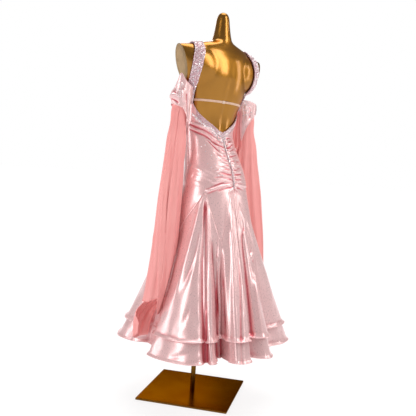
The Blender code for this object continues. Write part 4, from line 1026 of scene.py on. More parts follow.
def elastic_material():
    m = Nodes("nude_elastic")
    ribs = m.add("ShaderNodeTexWave", bands_direction="Z")
    ribs.inputs["Scale"].default_value = 300.0
    m.join(m.place, ribs.inputs["Vector"])
    m.colour(m.ramp(m.noise(80.0), (0.3, (0.66, 0.42, 0.30)), (0.7, (0.74, 0.50, 0.37))))
    m.bump((ribs.outputs["Fac"], 0.4, 0.0004), (m.noise(700.0), 0.2, 0.0003))
    m.set(Roughness=0.62, Sheen_Weight=0.3)
    return m.material


def plain_material(name, low, high, roughness, metallic=0.0, scale=60.0):
    m = Nodes(name)
    m.colour(m.ramp(m.noise(scale, 3.0), (0.3, low), (0.7, high)))
    m.bump((m.noise(scale * 8.0), 0.08, 0.0003),)
    m.set(Roughness=roughness, Metallic=metallic)
    return m.material


# ---------------------------------------------------------------------------
# Meshes
# ---------------------------------------------------------------------------

def add_mesh(name, points, faces, material, replaces=(), smooth=True):
    mesh = bpy.data.meshes.new(name)
    mesh.from_pydata([tuple(p) for p in points], [], faces)
    if smooth:
        mesh.shade_smooth()
    mesh.materials.append(material)
    thing = bpy.data.objects.new(name, mesh)
    bpy.context.collection.objects.link(thing)
    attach(thing, "root")
    if replaces:
        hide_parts(*replaces)
    return thing


def grid_faces(rows, columns, closed=False, start=0):
    faces = []
    last = columns if closed else columns - 1
    for r in range(rows - 1):
        for c in range(last):
            d = (c + 1) % columns
            a = start + r * columns
            faces.append((a + c, a + d, a + columns + d, a + columns + c))
    return faces


def shell(name, outer, wall, material, replaces=(), closed=False, flip=False, painted_shade=None):
    """Thin cloth whose outside is the grid of points and whose wall lies behind it."""
    rows, columns = outer.shape[:2]
    normal = grid_normals(outer, closed)
    normal = -normal if flip else normal
    inner = outer - normal * wall
    points = np.concatenate([outer.reshape(-1, 3), inner.reshape(-1, 3)])
    faces = grid_faces(rows, columns, closed)
    count = rows * columns
    faces += [tuple(reversed(f)) for f in grid_faces(rows, columns, closed, count)]
    last = columns if closed else columns - 1
    foot = (rows - 1) * columns
    for c in range(last):
        d = (c + 1) % columns
        faces.append((c, count + c, count + d, d))
        faces.append((foot + c, foot + d, count + foot + d, count + foot + c))
    if not closed:
        for r in range(rows - 1):
            for c, turn in ((0, 1), (columns - 1, -1)):
                a, e = r * columns + c, (r + 1) * columns + c
                faces.append((a, e, count + e, count + a)[::turn])
    if flip:
        faces = [tuple(reversed(f)) for f in faces]
    thing = add_mesh(name, points, faces, material, replaces)
    # Depth in the hollows, for the satin's painted fold shade, goes on as a point attribute
    if painted_shade is not None:
        values = thing.data.attributes.new("painted_fold_shade", "FLOAT", "POINT").data
        values.foreach_set("value", np.tile(painted_shade.reshape(-1), 2).astype(np.float32))
    return thing


def tube(name, path, radius, material, sides=8, closed=False):
    """Round roll along a line of points."""
    path = np.asarray(path, float)
    ahead = np.roll(path, -1, 0) if closed else np.gradient(path, axis=0) + path
    along = ahead - (np.roll(path, 1, 0) if closed else path)
    along /= np.maximum(np.linalg.norm(along, axis=1, keepdims=True), 1e-9)
    side = np.cross(along, (0.0, 0.0, 1.0))
    side /= np.maximum(np.linalg.norm(side, axis=1, keepdims=True), 1e-9)
    up = np.cross(side, along)
    turns = np.arange(sides) / sides * math.tau
    radius = np.broadcast_to(radius, len(path))[:, None, None]
    rings = path[:, None] + radius * (
        side[:, None] * np.cos(turns)[None, :, None] + up[:, None] * np.sin(turns)[None, :, None]
    )
    faces = grid_faces(len(path), sides, True)
    if closed:
        foot = (len(path) - 1) * sides
        faces += [
            (foot + c, foot + (c + 1) % sides, (c + 1) % sides, c) for c in range(sides)
        ]
    else:
        faces.append(tuple(reversed(range(sides))))
        faces.append(tuple(range((len(path) - 1) * sides, len(path) * sides)))
    return add_mesh(name, rings.reshape(-1, 3), faces, material)


def gem_shape():
    """Cut stone: flat table, two rows of facets and a pointed back, one unit across."""
    points = [(0.0, 0.0, 0.46)]
    for radius, height, turn in ((0.30, 0.46, 0.0), (0.50, 0.16, 0.5), (0.46, 0.0, 0.5)):
        points += [
            (radius * math.cos(math.tau * (i + turn) / 6),
             radius * math.sin(math.tau * (i + turn) / 6), height)
            for i in range(6)
        ]
    faces = [(0, 1 + i, 1 + (i + 1) % 6) for i in range(6)]
    for i in range(6):
        j = (i + 1) % 6
        faces += [
            (1 + i, 7 + i, 1 + j), (1 + j, 7 + i, 7 + j),
            (7 + i, 13 + i, 13 + j), (7 + i, 13 + j, 7 + j),
        ]
    faces.append(tuple(13 + i for i in reversed(range(6))))
    return np.array(points), faces


GEM_POINTS, GEM_FACES = gem_shape()


def stones(name, places, normals, sizes, material, seed, tilt=0.35):
    """Cut stones sewn on at the places, each tipped a little its own way."""
    rng = np.random.default_rng(seed)
    count = len(places)
    normals = normals + rng.normal(0.0, tilt, normals.shape)
    normals /= np.linalg.norm(normals, axis=1, keepdims=True)
    side = np.cross(normals, rng.normal(0.0, 1.0, normals.shape))
    side /= np.linalg.norm(side, axis=1, keepdims=True)
    over = np.cross(normals, side)
    sizes = np.broadcast_to(sizes, count)[:, None, None]
    g = GEM_POINTS[None] * sizes
    points = places[:, None] + g[..., :1] * side[:, None] + g[..., 1:2] * over[:, None]
    points = points + g[..., 2:] * normals[:, None]
    faces = [tuple(v + i * len(GEM_POINTS) for v in face) for i in range(count) for face in GEM_FACES]
    return add_mesh(name, points.reshape(-1, 3), faces, material, smooth=False)


def applied(thing, *modifiers):
    """The object with its modifiers worked into its mesh."""
    for kind, values in modifiers:
        modifier = thing.modifiers.new(kind.lower(), kind)
        for key, value in values.items():
            setattr(modifier, key, value)
    bpy.context.view_layer.update()
    made = bpy.data.meshes.new_from_object(
        thing.evaluated_get(bpy.context.evaluated_depsgraph_get())
    )
    thing.modifiers.clear()
    thing.data = made
    return thing


# ---------------------------------------------------------------------------
# Camera
# ---------------------------------------------------------------------------

def look_matrix():
    facing = Vector((-0.6736, -0.7391, 0.0)).normalized()
    pitch, roll = math.radians(CAMERA_PITCH), math.radians(CAMERA_ROLL)
    forward = facing * math.cos(pitch) - Vector((0.0, 0.0, 1.0)) * math.sin(pitch)
    right = forward.cross(Vector((0.0, 0.0, 1.0))).normalized()
    up = right.cross(forward)
    across = right * math.cos(roll) + up * math.sin(roll)
    above = up * math.cos(roll) - right * math.sin(roll)
    turn = Matrix((across, above, -forward)).transposed().to_4x4()
    return Matrix.Translation(CAMERA_PLACE) @ turn


def make_camera():
    data = bpy.data.cameras.new("camera")
    data.sensor_width = 36.0
    data.lens = CAMERA_FOCUS / FRAME_PIXELS * 36.0
    camera = bpy.data.objects.new("camera", data)
    bpy.context.collection.objects.link(camera)
    camera.matrix_world = look_matrix()
    bpy.context.scene.camera = camera


def ray_through(x, y):
    """Start and direction of the ray through a pixel of the frame."""
    half = FRAME_PIXELS / 2
    view = Vector(((x - half) / CAMERA_FOCUS, (half - y) / CAMERA_FOCUS, -1.0))
    turn = look_matrix()
    return turn.translation, (turn.to_3x3() @ view).normalized()


def tree_of(points, faces):
    return BVHTree.FromPolygons([tuple(p) for p in points], faces)


def grid_tree(points, closed=False):
    rows, columns = points.shape[:2]
    return tree_of(points.reshape(-1, 3), grid_faces(rows, columns, closed))


def grids_tree(grids):
    """One tree over several grids of points."""
    points, faces = [], []
    for grid in grids:
        faces += grid_faces(*grid.shape[:2], False, sum(len(p) for p in points))
        points.append(grid.reshape(-1, 3))
    return tree_of(np.concatenate(points), faces)


def on_surface(tree, pixels):
    """Places and normals where the rays through the pixels meet a surface."""
    found = []
    for x, y in pixels:
        start, way = ray_through(x, y)
        place, normal, *_ = tree.ray_cast(start, way)
        if place is not None:
            found.append((place, normal if normal.dot(way) < 0.0 else -normal))
    return np.array([f[0] for f in found]).reshape(-1, 3), np.array([f[1] for f in found]).reshape(-1, 3)


def crease_lines(tree, creases):
    """Creases as lines in space: (points, height, first and last half width, fades)."""
    lines = []
    for pixels, height, first, last, fades in creases:
        line, _ = on_surface(tree, pixels)
        if len(line) < 2:
            continue
        if fades[1] == 0.0:
            way = line[-1] - line[-2]
            line = np.concatenate([line, [line[-1] + way / np.linalg.norm(way) * CREASE_RUN_ON]])
        share = np.linspace(0.0, 1.0, CREASE_STEPS) * (len(line) - 1)
        keys = np.arange(len(line))
        fine = np.stack([curve(keys, line[:, k], share) for k in range(3)], -1)
        lines.append((fine, height, first, last, fades))
    return lines


def line_gap(points, line):
    """Distance of each point from a line, and the share of the line that it lies beside."""
    least, share = np.full(len(points), np.inf), np.zeros(len(points))
    for index, (start, end) in enumerate(zip(line, line[1:])):
        way = end - start
        along = np.clip((points - start) @ way / max(way @ way, 1e-12), 0.0, 1.0)
        gap = np.linalg.norm(points - start - along[:, None] * way, axis=1)
        share = np.where(gap < least, (index + along) / (len(line) - 1.0), share)
        least = np.minimum(gap, least)
    return least, share


def faded(share, reach):
    return ease(share / reach) if reach > 0.0 else 1.0


def creased(points, normal, lines, room=1.0):
    """The grid moved along its normals by soft ridges and troughs that follow the lines.

    The troughs stay shallower than the room that there is behind the cloth.
    """
    moved = np.zeros(points.shape[:2])
    for line, height, first, last, fades in lines:
        reach = 3.0 * max(first, last)
        near = ((points > line.min(0) - reach) & (points < line.max(0) + reach)).all(-1)
        if not near.any():
            continue
        gap, share = line_gap(points[near], line)
        ends = faded(share, fades[0]) * faded(1.0 - share, fades[1])
        moved[near] += height * ends * np.exp(-((gap / mix(first, last, share)) ** 2))
    moved = np.where(moved < 0.0, room * np.tanh(moved / room), moved)
    return points + normal * moved[..., None]


def hollows(points, normal, reach):
    """How far each point of a grid lies below its neighbours at the reach, along both ways: the depth that
    the satin's painted fold shade is read from.
    """
    total = np.zeros(points.shape[:2])
    for grid, out, turned in (
        (points, normal, False), (points.transpose(1, 0, 2), normal.transpose(1, 0, 2), True),
    ):
        found = []
        for line, way in zip(grid, out):
            steps = np.linalg.norm(np.diff(line, axis=0), axis=1)
            lengths = np.concatenate([[0.0], np.cumsum(steps)])
            room = np.minimum(np.minimum(lengths, lengths[-1] - lengths), reach)
            sides = [
                np.stack([np.interp(lengths + k * room, lengths, line[:, a]) for a in range(3)], -1)
                for k in (-1.0, 1.0)
            ]
            found.append((((sides[0] + sides[1]) / 2 - line) * way).sum(-1) / reach)
        total += np.array(found).T if turned else np.array(found)
    return total


# ---------------------------------------------------------------------------
# The form on its stand
# ---------------------------------------------------------------------------


def build_form(gold, cap):
    turns = np.arange(FORM_SIDES) / FORM_SIDES * 360.0
    heights = np.concatenate([np.arange(0.800, 1.500, 0.010), np.arange(1.500, 1.678, 0.003), [1.678]])
    rings = []
    for z in heights:
        radius = form_radius(turns, z)
        rad = np.radians(turns)
        middle = table(FORM_LEVELS, 4, z)
        rings.append(np.stack([radius * np.cos(rad), middle + radius * np.sin(rad), z + 0 * rad], -1))
    points = list(np.concatenate(rings))
    faces = grid_faces(len(rings), FORM_SIDES, True)
    faces.append(tuple(reversed(range(FORM_SIDES))))
    faces.append(tuple(range((len(rings) - 1) * FORM_SIDES, len(rings) * FORM_SIDES)))
    offset = len(points)
    outs = np.linspace(-SHOULDER_LEVELS[-1][0], SHOULDER_LEVELS[-1][0], SHOULDER_ROWS)
    turn = np.arange(FORM_SIDES) / FORM_SIDES * math.tau
    rows = []
    for x in outs:
        middle_y, middle_z, half_depth, half_height = (
            table(SHOULDER_LEVELS, c, abs(x)) for c in (1, 2, 3, 4)
        )
        rise = half_height * np.sin(turn)
        lean = 1.0 + SHOULDER_LEAN * rise / SHOULDER_LEVELS[-1][0]
        rows.append(np.stack([x * lean, middle_y + half_depth * np.cos(turn), middle_z + rise], -1))
    points += list(np.concatenate(rows))
    faces += grid_faces(len(rows), FORM_SIDES, True, offset)
    faces.append(tuple(offset + i for i in reversed(range(FORM_SIDES))))
    last = offset + (len(rows) - 1) * FORM_SIDES
    faces.append(tuple(last + i for i in range(FORM_SIDES)))
    form = add_mesh("form_skin", points, faces, gold, ("form_torso",))
    shape = bmesh.new()
    shape.from_mesh(form.data)
    bmesh.ops.recalc_face_normals(shape, faces=shape.faces)
    shape.to_mesh(form.data)
    shape.free()
    applied(
        form,
        ("REMESH", {"mode": "VOXEL", "voxel_size": FORM_VOXEL}),
        ("SMOOTH", {"iterations": FORM_SMOOTHING, "factor": 0.5}),
    )
    form.data.shade_smooth()
    for ring_points, name, way in ((rows[0], "arm_cap_right", -1.0), (rows[-1], "arm_cap_left", 1.0)):
        build_cap(name, ring_points, way, cap)
    return form


def build_cap(name, edge, way, material):
    """Flat plate let into the end of the arm stump, with a fine rolled rim."""
    middle = edge.mean(0)
    normal = np.cross(edge[0] - middle, edge[FORM_SIDES // 4] - middle)
    normal /= np.linalg.norm(normal)
    normal = normal * (1.0 if normal[0] * way > 0.0 else -1.0)
    rings = []
    for share, lift in CAP_RINGS:
        rings.append(middle + (edge - middle) * share + normal * lift)
    faces = grid_faces(len(rings), FORM_SIDES, True)
    faces.append(tuple(range((len(rings) - 1) * FORM_SIDES, len(rings) * FORM_SIDES)))
    if way < 0.0:
        faces = [tuple(reversed(f)) for f in faces]
    add_mesh(name, np.concatenate(rings), faces, material)


# ---------------------------------------------------------------------------
# Body and skirt
# ---------------------------------------------------------------------------

def spread_columns(first, last, step):
    """Hip angles from seam to seam, through every point of the yoke line."""
    marks = [row[0] for row in YOKE_LINE] + [YOKE_LINE[0][0] + 360.0]
    marks = sorted(set([first, last] + [a for a in marks if first < a < last]))
    columns = []
    for a, b in zip(marks, marks[1:]):
        count = max(2, round((b - a) / step))
        columns += [mix(a, b, i / count) for i in range(count)]
    return np.array(columns + [last])


def gather_lift(angle, share):
    """Soft gathers that run out from the centre-back seam, each bending a little up or down as it runs out.
    """
    away = np.abs(angle - 90.0)
    start = ease((away - GATHER_CLEAR) / (GATHER_FULL - GATHER_CLEAR))
    lift = 0.0
    for index, (place, height, reach) in enumerate(GATHERS):
        bend = 0.006 * math.sin(index * 2.3) * away / 30.0
        d = np.abs(share - place - bend) / GATHER_STEP
        peak = np.where(d < 1.0, np.cos(d * math.pi / 2) ** 2, 0.0)
        lift = lift + height * peak * start * ease((reach - away) / (reach * 0.6))
    return lift


def seam_gaps(z, radius):
    """Turn of the first and last column that leaves the gap of a sewn seam."""
    gap = np.zeros(z.shape)
    gap[:, 0], gap[:, -1] = 1.0, -1.0
    return gap * np.degrees(SEAM_GAP * 0.5 / radius)


def panel_grid(first, last, gathered):
    columns = spread_columns(first, last, BODY_STEP if gathered else FRONT_STEP)[None, :]
    shares = np.concatenate([
        np.linspace(0.0, EDGE_SHARE, 6)[:-1],
        np.linspace(EDGE_SHARE, HIP_SHARE, 150 if gathered else 60)[:-1],
        np.linspace(HIP_SHARE, 1.0, 44),
    ])[:, None]
    z = panel_row(shares, columns)
    base = dress_point(columns + seam_gaps(z, 0.13), z)
    normal = dress_normal(columns, z)
    lift = CLOTH_WALL + 0.0 * z
    if gathered:
        lift = lift + gather_lift(columns, shares)
    edge = np.minimum(np.abs(columns - first), np.abs(columns - last))
    seam = np.minimum(edge * 0.0028, np.abs(z - yoke_line(columns)))
    lift = lift + CLOTH_SOFT * noise(base, (0.05, 0.05, 0.07), 3) * ease(seam / 0.02)
    lift = lift - SEAM_DIP * np.exp(-((seam / 0.003) ** 2))
    return base + normal * lift[..., None], normal


def godet_grid(first, last):
    columns = spread_columns(first, last, SKIRT_STEP)[None, :]
    shares = np.concatenate([np.linspace(0.0, 0.9, 66)[:-1], np.linspace(0.9, 1.0, 16)])[:, None]
    z = mix(yoke_line(columns) - SEAM_GAP, SKIRT_HEM, shares)
    radius = dress_radius(hem_angle_of(columns, z), z)
    base = dress_point(columns + seam_gaps(z, radius), z)
    normal = dress_normal(columns, z)
    lift = CLOTH_WALL + kick(z, SKIRT_HEM, SKIRT_KICK)
    edge = np.minimum(np.abs(columns - first), np.abs(columns - last)) * 0.0035
    seam = np.minimum(edge, np.abs(yoke_line(columns) - z))
    lift = lift + SKIRT_SOFT * noise(base, (0.06, 0.06, 0.22), 5) * ease(seam / 0.05)
    lift = lift + 0.0008 * noise(base, (0.02, 0.02, 0.05), 6) * ease(seam / 0.02)
    lift = lift - SEAM_DIP * np.exp(-((seam / 0.003) ** 2))
    lift = lift - 0.0007 * np.exp(-(((z - SKIRT_HEM - 0.016) / 0.0018) ** 2))
    return base + normal * lift[..., None], normal


def band_grid(first, last):
    columns = spread_columns(first, last, SKIRT_STEP)[None, :]
    heights = np.concatenate([
        np.linspace(BAND_TOP, SKIRT_HEM, 6)[:-1], np.linspace(SKIRT_HEM, BAND_HEM + 0.012, 16)[:-1],
        np.linspace(BAND_HEM + 0.012, BAND_HEM, 8),
    ])[:, None]
    z = heights + 0.0 * columns
    depth = mix(BAND_GAP, 0.003, ease((BAND_TOP - z) / (BAND_TOP - SKIRT_HEM)))
    radius = dress_radius(hem_angle_of(columns, z), z)
    base = dress_point(columns + seam_gaps(z, radius), z)
    normal = dress_normal(columns, z)
    lift = kick(z, BAND_HEM, BAND_KICK) - depth
    low = ease((SKIRT_HEM - z) / 0.03)
    lift = lift + 0.0014 * noise(base, (0.03, 0.03, 0.09), 8) * low
    lift = lift - 0.0006 * np.exp(-(((z - BAND_HEM - 0.010) / 0.0016) ** 2))
    return base + normal * lift[..., None], normal


def build_dress(satin):
    """The panels, godets and hem bands, each group creased as one surface; their grids by name."""
    panels = {
        "back_left": panel_grid(GODET_SEAMS[0], 90.0, True),
        "back_right": panel_grid(90.0, GODET_SEAMS[4], True),
        "front": panel_grid(GODET_SEAMS[4], GODET_SEAMS[8], False),
    }
    godets = {
        "godet_%d" % number: godet_grid(first, last)
        for number, (first, last) in enumerate(zip(GODET_SEAMS, GODET_SEAMS[1:]), start=1)
    }
    bands = {
        "hem_band_%d" % number: band_grid(first, last)
        for number, (first, last) in enumerate(zip(BAND_SEAMS, BAND_SEAMS[1:]), start=1)
    }
    made = {}
    lines = []
    for group, creases, reach, room in (
        (panels, BODY_CREASES, BODY_HOLLOW, BODY_ROOM),
        (godets, SKIRT_CREASES, SKIRT_HOLLOW, SKIRT_ROOM),
        (bands, BAND_CREASES, SKIRT_HOLLOW, SKIRT_ROOM),
    ):
        before = lines if group is bands else []
        tree = grids_tree([grid for grid, _ in group.values()])
        lines = before + crease_lines(tree, creases)
        for name, (grid, normal) in group.items():
            grid = creased(grid, normal, lines, room)
            # Depth of each point in its hollow, read by the satin's painted fold shade
            painted_shade = hollows(grid, normal, reach)
            shell(name + "_cloth", grid, SATIN_SHELL, satin, (name,), painted_shade=painted_shade)
            made[name] = grid
    for name, edges in (("skirt_hem_roll", godets), ("band_hem_roll", bands)):
        line = np.concatenate([made[edge][-1][:-1] for edge in edges])
        tube(name, line, HEM_ROLL, satin, closed=True)
    return made


# ---------------------------------------------------------------------------
# Straps, elastic, bands and stones
# ---------------------------------------------------------------------------

def strap_frame(side, tree, count):
    """Middle line of a strap and the direction across it."""
    keys = np.arange(len(STRAP_PATH))
    share = np.linspace(0.0, 1.0, count) * (len(STRAP_PATH) - 1)
    path = np.stack([
        curve(keys, [scale * row[axis] for row in STRAP_PATH], share)
        for axis, scale in enumerate((side, 1.0, 1.0))
    ], -1)
    along = np.gradient(path, axis=0)
    along /= np.linalg.norm(along, axis=1, keepdims=True)
    out = []
    for point in path:
        nearest, normal, *_ = tree.find_nearest(Vector(point))
        out.append(normal)
    out = np.array(out)
    for _ in range(6):
        out = np.concatenate([out[:1], (out[:-2] + out[1:-1] * 2 + out[2:]) / 4, out[-1:]])
    across = np.cross(along, out)
    across /= np.linalg.norm(across, axis=1, keepdims=True)
    return path, across


def seated(points, lifts, tree):
    """Points set square off the form by the lifts."""
    shape = points.shape
    flat = points.reshape(-1, 3)
    lifts = np.broadcast_to(lifts, shape[:-1]).reshape(-1)
    made, normals = [], []
    for point, lift in zip(flat, lifts):
        nearest, normal, *_ = tree.find_nearest(Vector(point))
        away = Vector(point) - nearest
        if away.dot(normal) < 0.0 or away.length < 0.0005:
            away = normal
        away.normalize()
        made.append(nearest + away * float(lift))
        normals.append(away)
    return np.array(made).reshape(shape), np.array(normals).reshape(shape)


def build_strap(side, name, tree, band, beads):
    count = STRAP_ROWS
    path, across = strap_frame(side, tree, count)
    share = np.linspace(0.0, 1.0, count)
    width = curve((0.0, 0.55, 1.0), STRAP_WIDTHS, share)
    from_end = np.minimum(share, 1.0 - share) * 2 * (len(STRAP_PATH) - 1)
    lift = mix(STRAP_END_LIFT, STRAP_LIFT, ease((from_end - 3) / STRAP_ENDS)) + STRAP_WALL
    places = np.linspace(-0.5, 0.5, STRAP_COLUMNS)
    crown = 0.0010 * (1.0 - (2 * places) ** 2) ** 0.5
    grid = path[:, None] + across[:, None] * (width[:, None] * places[None])[..., None]
    grid, normals = seated(grid, lift[:, None] + crown[None] - 0.0006, tree)
    inside_out = (grid_normals(grid) * normals).sum() < 0.0
    shell(name + "_cloth", grid, STRAP_SHELL, band, (name,), flip=inside_out)
    build_beads(name + "_beads", grid, normals, 0.0046, 0.0048, beads, int(side) + 7, 4)


def build_beads(name, grid, normals, pitch, size, beads, seed, stones_every=9):
    """Beads close set over a strip, in rows that wander, with bigger stones among them."""
    rng = np.random.default_rng(seed)
    rows, columns = grid.shape[:2]
    length = np.linalg.norm(np.diff(grid[:, columns // 2], axis=0), axis=1).sum()
    width = np.linalg.norm(np.diff(grid, axis=1), axis=2).sum(1).mean()
    along = max(2, round(length / pitch))
    over = max(2, round(width / pitch))
    u = (np.arange(along)[:, None] + 0.5 + rng.uniform(-0.3, 0.3, (along, over))) / along
    stagger = 0.5 * (np.arange(along)[:, None] % 2 - 0.5)
    v = (np.arange(over)[None] + 0.5 + stagger + rng.uniform(-0.2, 0.2, (along, over))) / over
    u = np.clip(u, 0.0, 1.0).reshape(-1) * (rows - 1.001)
    v = np.clip(v, 0.03, 0.97).reshape(-1) * (columns - 1.001)
    i, j = u.astype(int), v.astype(int)
    s, t = (u - i)[:, None], (v - j)[:, None]

    def at(field):
        return (
            (field[i, j] * (1 - s) + field[i + 1, j] * s) * (1 - t)
            + (field[i, j + 1] * (1 - s) + field[i + 1, j + 1] * s) * t
        )
    places, ways = at(grid), at(normals)
    ways /= np.linalg.norm(ways, axis=1, keepdims=True)
    sizes = size * rng.uniform(0.65, 1.0, len(places))
    big = rng.random(len(places)) < 1.0 / stones_every
    silver, pink = beads
    stones(name + "_silver", places[big], ways[big], sizes[big] * 1.25, silver, seed)
    stones(name, places[~big], ways[~big], sizes[~big], pink, seed + 1)


def build_elastic(elastic):
    angles = np.linspace(*ELASTIC_SPAN, 120)[None]
    half = ELASTIC_WIDTH / 2
    drop = np.array([1.0, 0.9, 0.45, 0.0, -0.45, -0.9, -1.0])[:, None]
    crown = ELASTIC_WALL * (1.0 - 0.5 * drop ** 6)
    z = ELASTIC_HEIGHT + half * drop + 0.0 * angles
    radius = trunk_radius(angles, z) + ELASTIC_LIFT + crown
    turn = np.radians(angles) + 0.0 * z
    points = np.stack([radius * np.cos(turn), table(FORM_LEVELS, 4, z) + radius * np.sin(turn), z], -1)
    shell("elastic_band", points, CHIFFON_SHELL, elastic, ("back_elastic",))


def laid_grid(columns, shares, lift):
    """Grid over the back panels, off the cloth and its gathers by the lift."""
    columns, shares = np.asarray(columns, float)[None], np.asarray(shares, float)[:, None]
    z = panel_row(shares, columns)
    normal = dress_normal(columns, z)
    over = CLOTH_WALL + gather_lift(columns, shares) + lift
    return dress_point(columns, z) + normal * over[..., None], normal


def build_bands(band, beads):
    shares = np.linspace(0.0, EDGE_SHARE, 7)
    for name, first, last in (("edge_band_left", 14.0, 89.95), ("edge_band_right", 90.05, 166.0)):
        columns = np.linspace(first, last, 90)
        grid, normals = laid_grid(columns, shares, LAID_ON_GAP + TRIM_WALL * 0.8)
        shell(name + "_cloth", grid, BAND_SHELL, band, (name,))
        grid, normals = grid.transpose(1, 0, 2), normals.transpose(1, 0, 2)
        build_beads(name + "_beads", grid, normals, 0.0036, 0.0034, beads, len(name))
    columns = 90.0 + np.linspace(-2.2, 2.2, 7)
    grid, normals = laid_grid(columns, np.linspace(TRIM_HEAD, TRIM_FOOT, 120), LAID_ON_GAP + TRIM_WALL * 0.7)
    shell("centre_trim_cloth", grid, TRIM_SHELL, band, ("centre_back_trim",))
    build_beads("centre_trim_beads", grid, normals, 0.0042, 0.0046, beads, 31, 3)


def build_stones(tree, silver):
    """Stones scattered over the panels: single ones, and a spray below the V of the back."""
    rng = np.random.default_rng(5)
    places, normals = on_surface(tree, SINGLE_STONES)
    sizes = rng.uniform(0.0048, 0.0062, len(places))
    stones("rhinestones", places, normals, sizes, silver, 41, 0.12)
    pixels = []
    keys = np.arange(len(SPRAY_LINE))
    for _ in range(SPRAY_COUNT):
        share = rng.uniform(0.0, len(keys) - 1.0)
        x, y, deep = (float(curve(keys, [row[k] for row in SPRAY_LINE], share)) for k in range(3))
        pixels.append((x + rng.uniform(-0.5, 0.5), y + deep * rng.random() ** 1.6))
    places, normals = on_surface(tree, pixels)
    sizes = rng.uniform(0.0032, 0.0054, len(places))
    stones("spray", places, normals, sizes, silver, 42, 0.3)


# ---------------------------------------------------------------------------
# Sleeves and floats
# ---------------------------------------------------------------------------

def build_sleeve(side, word, edges, creases, satin, silver):
    angles = np.arange(0.0, 360.0, SLEEVE_STEP)[None]
    shares = np.linspace(0.0, 1.0, SLEEVE_ROWS)[:, None]
    top, foot = sleeve_edges(edges, angles)
    z = mix(top, foot, shares)
    points = sleeve_point(angles, z, side)
    normal = sleeve_normal(angles, z, side)
    soft = 0.0016 * noise(points, (0.018, 0.018, 0.10), 11 + side) + 0.0008 * noise(points, 0.016, 12)
    points = points + normal * (soft * ease(shares / 0.1))[..., None]
    flip = np.array([side, 1.0, 1.0])
    points, normal = points * flip, normal * flip
    points = creased(points, normal, crease_lines(grid_tree(points, True), creases))
    name = "sleeve_" + word
    # Depth of each point in its hollow, read by the satin's painted fold shade
    painted_shade = hollows(points, normal, BODY_HOLLOW)
    shell(
        name + "_cloth", points, SATIN_SHELL, satin, (name,),
        closed=True, flip=side < 0.0, painted_shade=painted_shade,
    )
    tube(name + "_edge", points[0], SLEEVE_ROLL, satin, closed=True)
    tube(name + "_foot", points[-1], SLEEVE_ROLL, satin, closed=True)
    rng = np.random.default_rng(int(side) + 60)
    left, top, right, foot = SLEEVE_SPRAYS[word]
    pixels = [(rng.uniform(left, right), rng.uniform(top, foot)) for _ in range(SLEEVE_STONES)]
    places, normals = on_surface(grid_tree(points, True), pixels)
    sizes = rng.uniform(0.0028, 0.0046, len(places))
    stones(name + "_stones", places, normals, sizes, silver, 61)
    return points


def build_gather(chiffon):
    """Gathered chiffon that fills the gap between the bodice and the right sleeve."""
    columns = np.linspace(0.0, 1.0, GATHER_COLUMNS)[None]
    rows = np.linspace(0.0, 1.0, GATHER_ROWS)[:, None]
    place = [mix(mix(a, b, columns), mix(c, d, columns), rows) for a, b, c, d in zip(*GATHER_CORNERS)]
    points = np.stack(place, -1)
    normal = grid_normals(points)
    pleats = GATHER_PLEAT * np.cos(math.tau * GATHER_PLEATS * columns) * (0.7 + 0.3 * noise(points, 0.05, 3))
    points = points + normal * (pleats * (0.5 + 0.5 * rows))[..., None]
    return shell("float_right_gather", points, CHIFFON_SHELL, chiffon)


def build_float(side, word, row, chiffon):
    kind, first, last_top, last_foot = row[:4]
    waves = row[8]
    lap = FLOAT_LAPS[kind]
    row = (kind, first, last_top + lap, last_foot + lap) + tuple(row[4:])
    count = waves * FLOAT_WAVE_COLUMNS + 1
    shares = np.linspace(0.0, 1.0, FLOAT_ROWS) ** FLOAT_ROW_POWER
    middle = float_grid(row, side, count, shares)
    z = middle[..., 2]
    normal = -grid_normals(middle)
    place = np.linspace(0.0, 1.0, count)[None] + 0.0 * z
    seed = waves + side
    spot = np.stack([place, 0.0 * z, z], -1)
    drift = noise(spot, (0.13, 1.0, 0.45), seed) + 0.5 * noise(spot, (0.06, 1.0, 0.3), seed + 1)
    free = ease((FLOAT_TOP - z) / FLOAT_WAVE_RISE)
    folds = -np.cos(math.tau * (waves / 2) * (place + FLOAT_DRIFT * drift))
    height = 0.65 + 0.35 * noise(spot, (0.09, 1.0, 0.4), 21 + side)
    fine = np.sin(math.tau * waves * 2.6 * place + 3.0 * drift) * ease((z - 0.80) / 0.35)
    edge = ease(np.minimum(place, 1.0 - place) / 0.06)
    lift = FLOAT_FOLD * free * folds * height * edge + FLOAT_FINE * fine * ease((FLOAT_TOP - z) / 0.03)
    if lap > 0.0:
        lift = lift + FLOAT_LAP_LIFT * ease((place - 0.86) / 0.08) * ease((FLOAT_SEWN - z) / 0.04)
    points = middle + normal * lift[..., None]
    points = points * np.array([side, 1.0, 1.0])
    if side > 0.0 and kind != "under":
        out = normal * np.array([side, 1.0, 1.0])
        points = creased(points, out, crease_lines(grid_tree(points), FLOAT_CREASES))
    name = "float_%s_%s" % (word, kind)
    cloth = shell(
        name + "_cloth", points, CHIFFON_SHELL, chiffon, (name,), flip=side < 0.0,
    )
    tube(name + "_hem", points[-1], FLOAT_ROLL, chiffon)
    return cloth


# ---------------------------------------------------------------------------
# Room
# ---------------------------------------------------------------------------

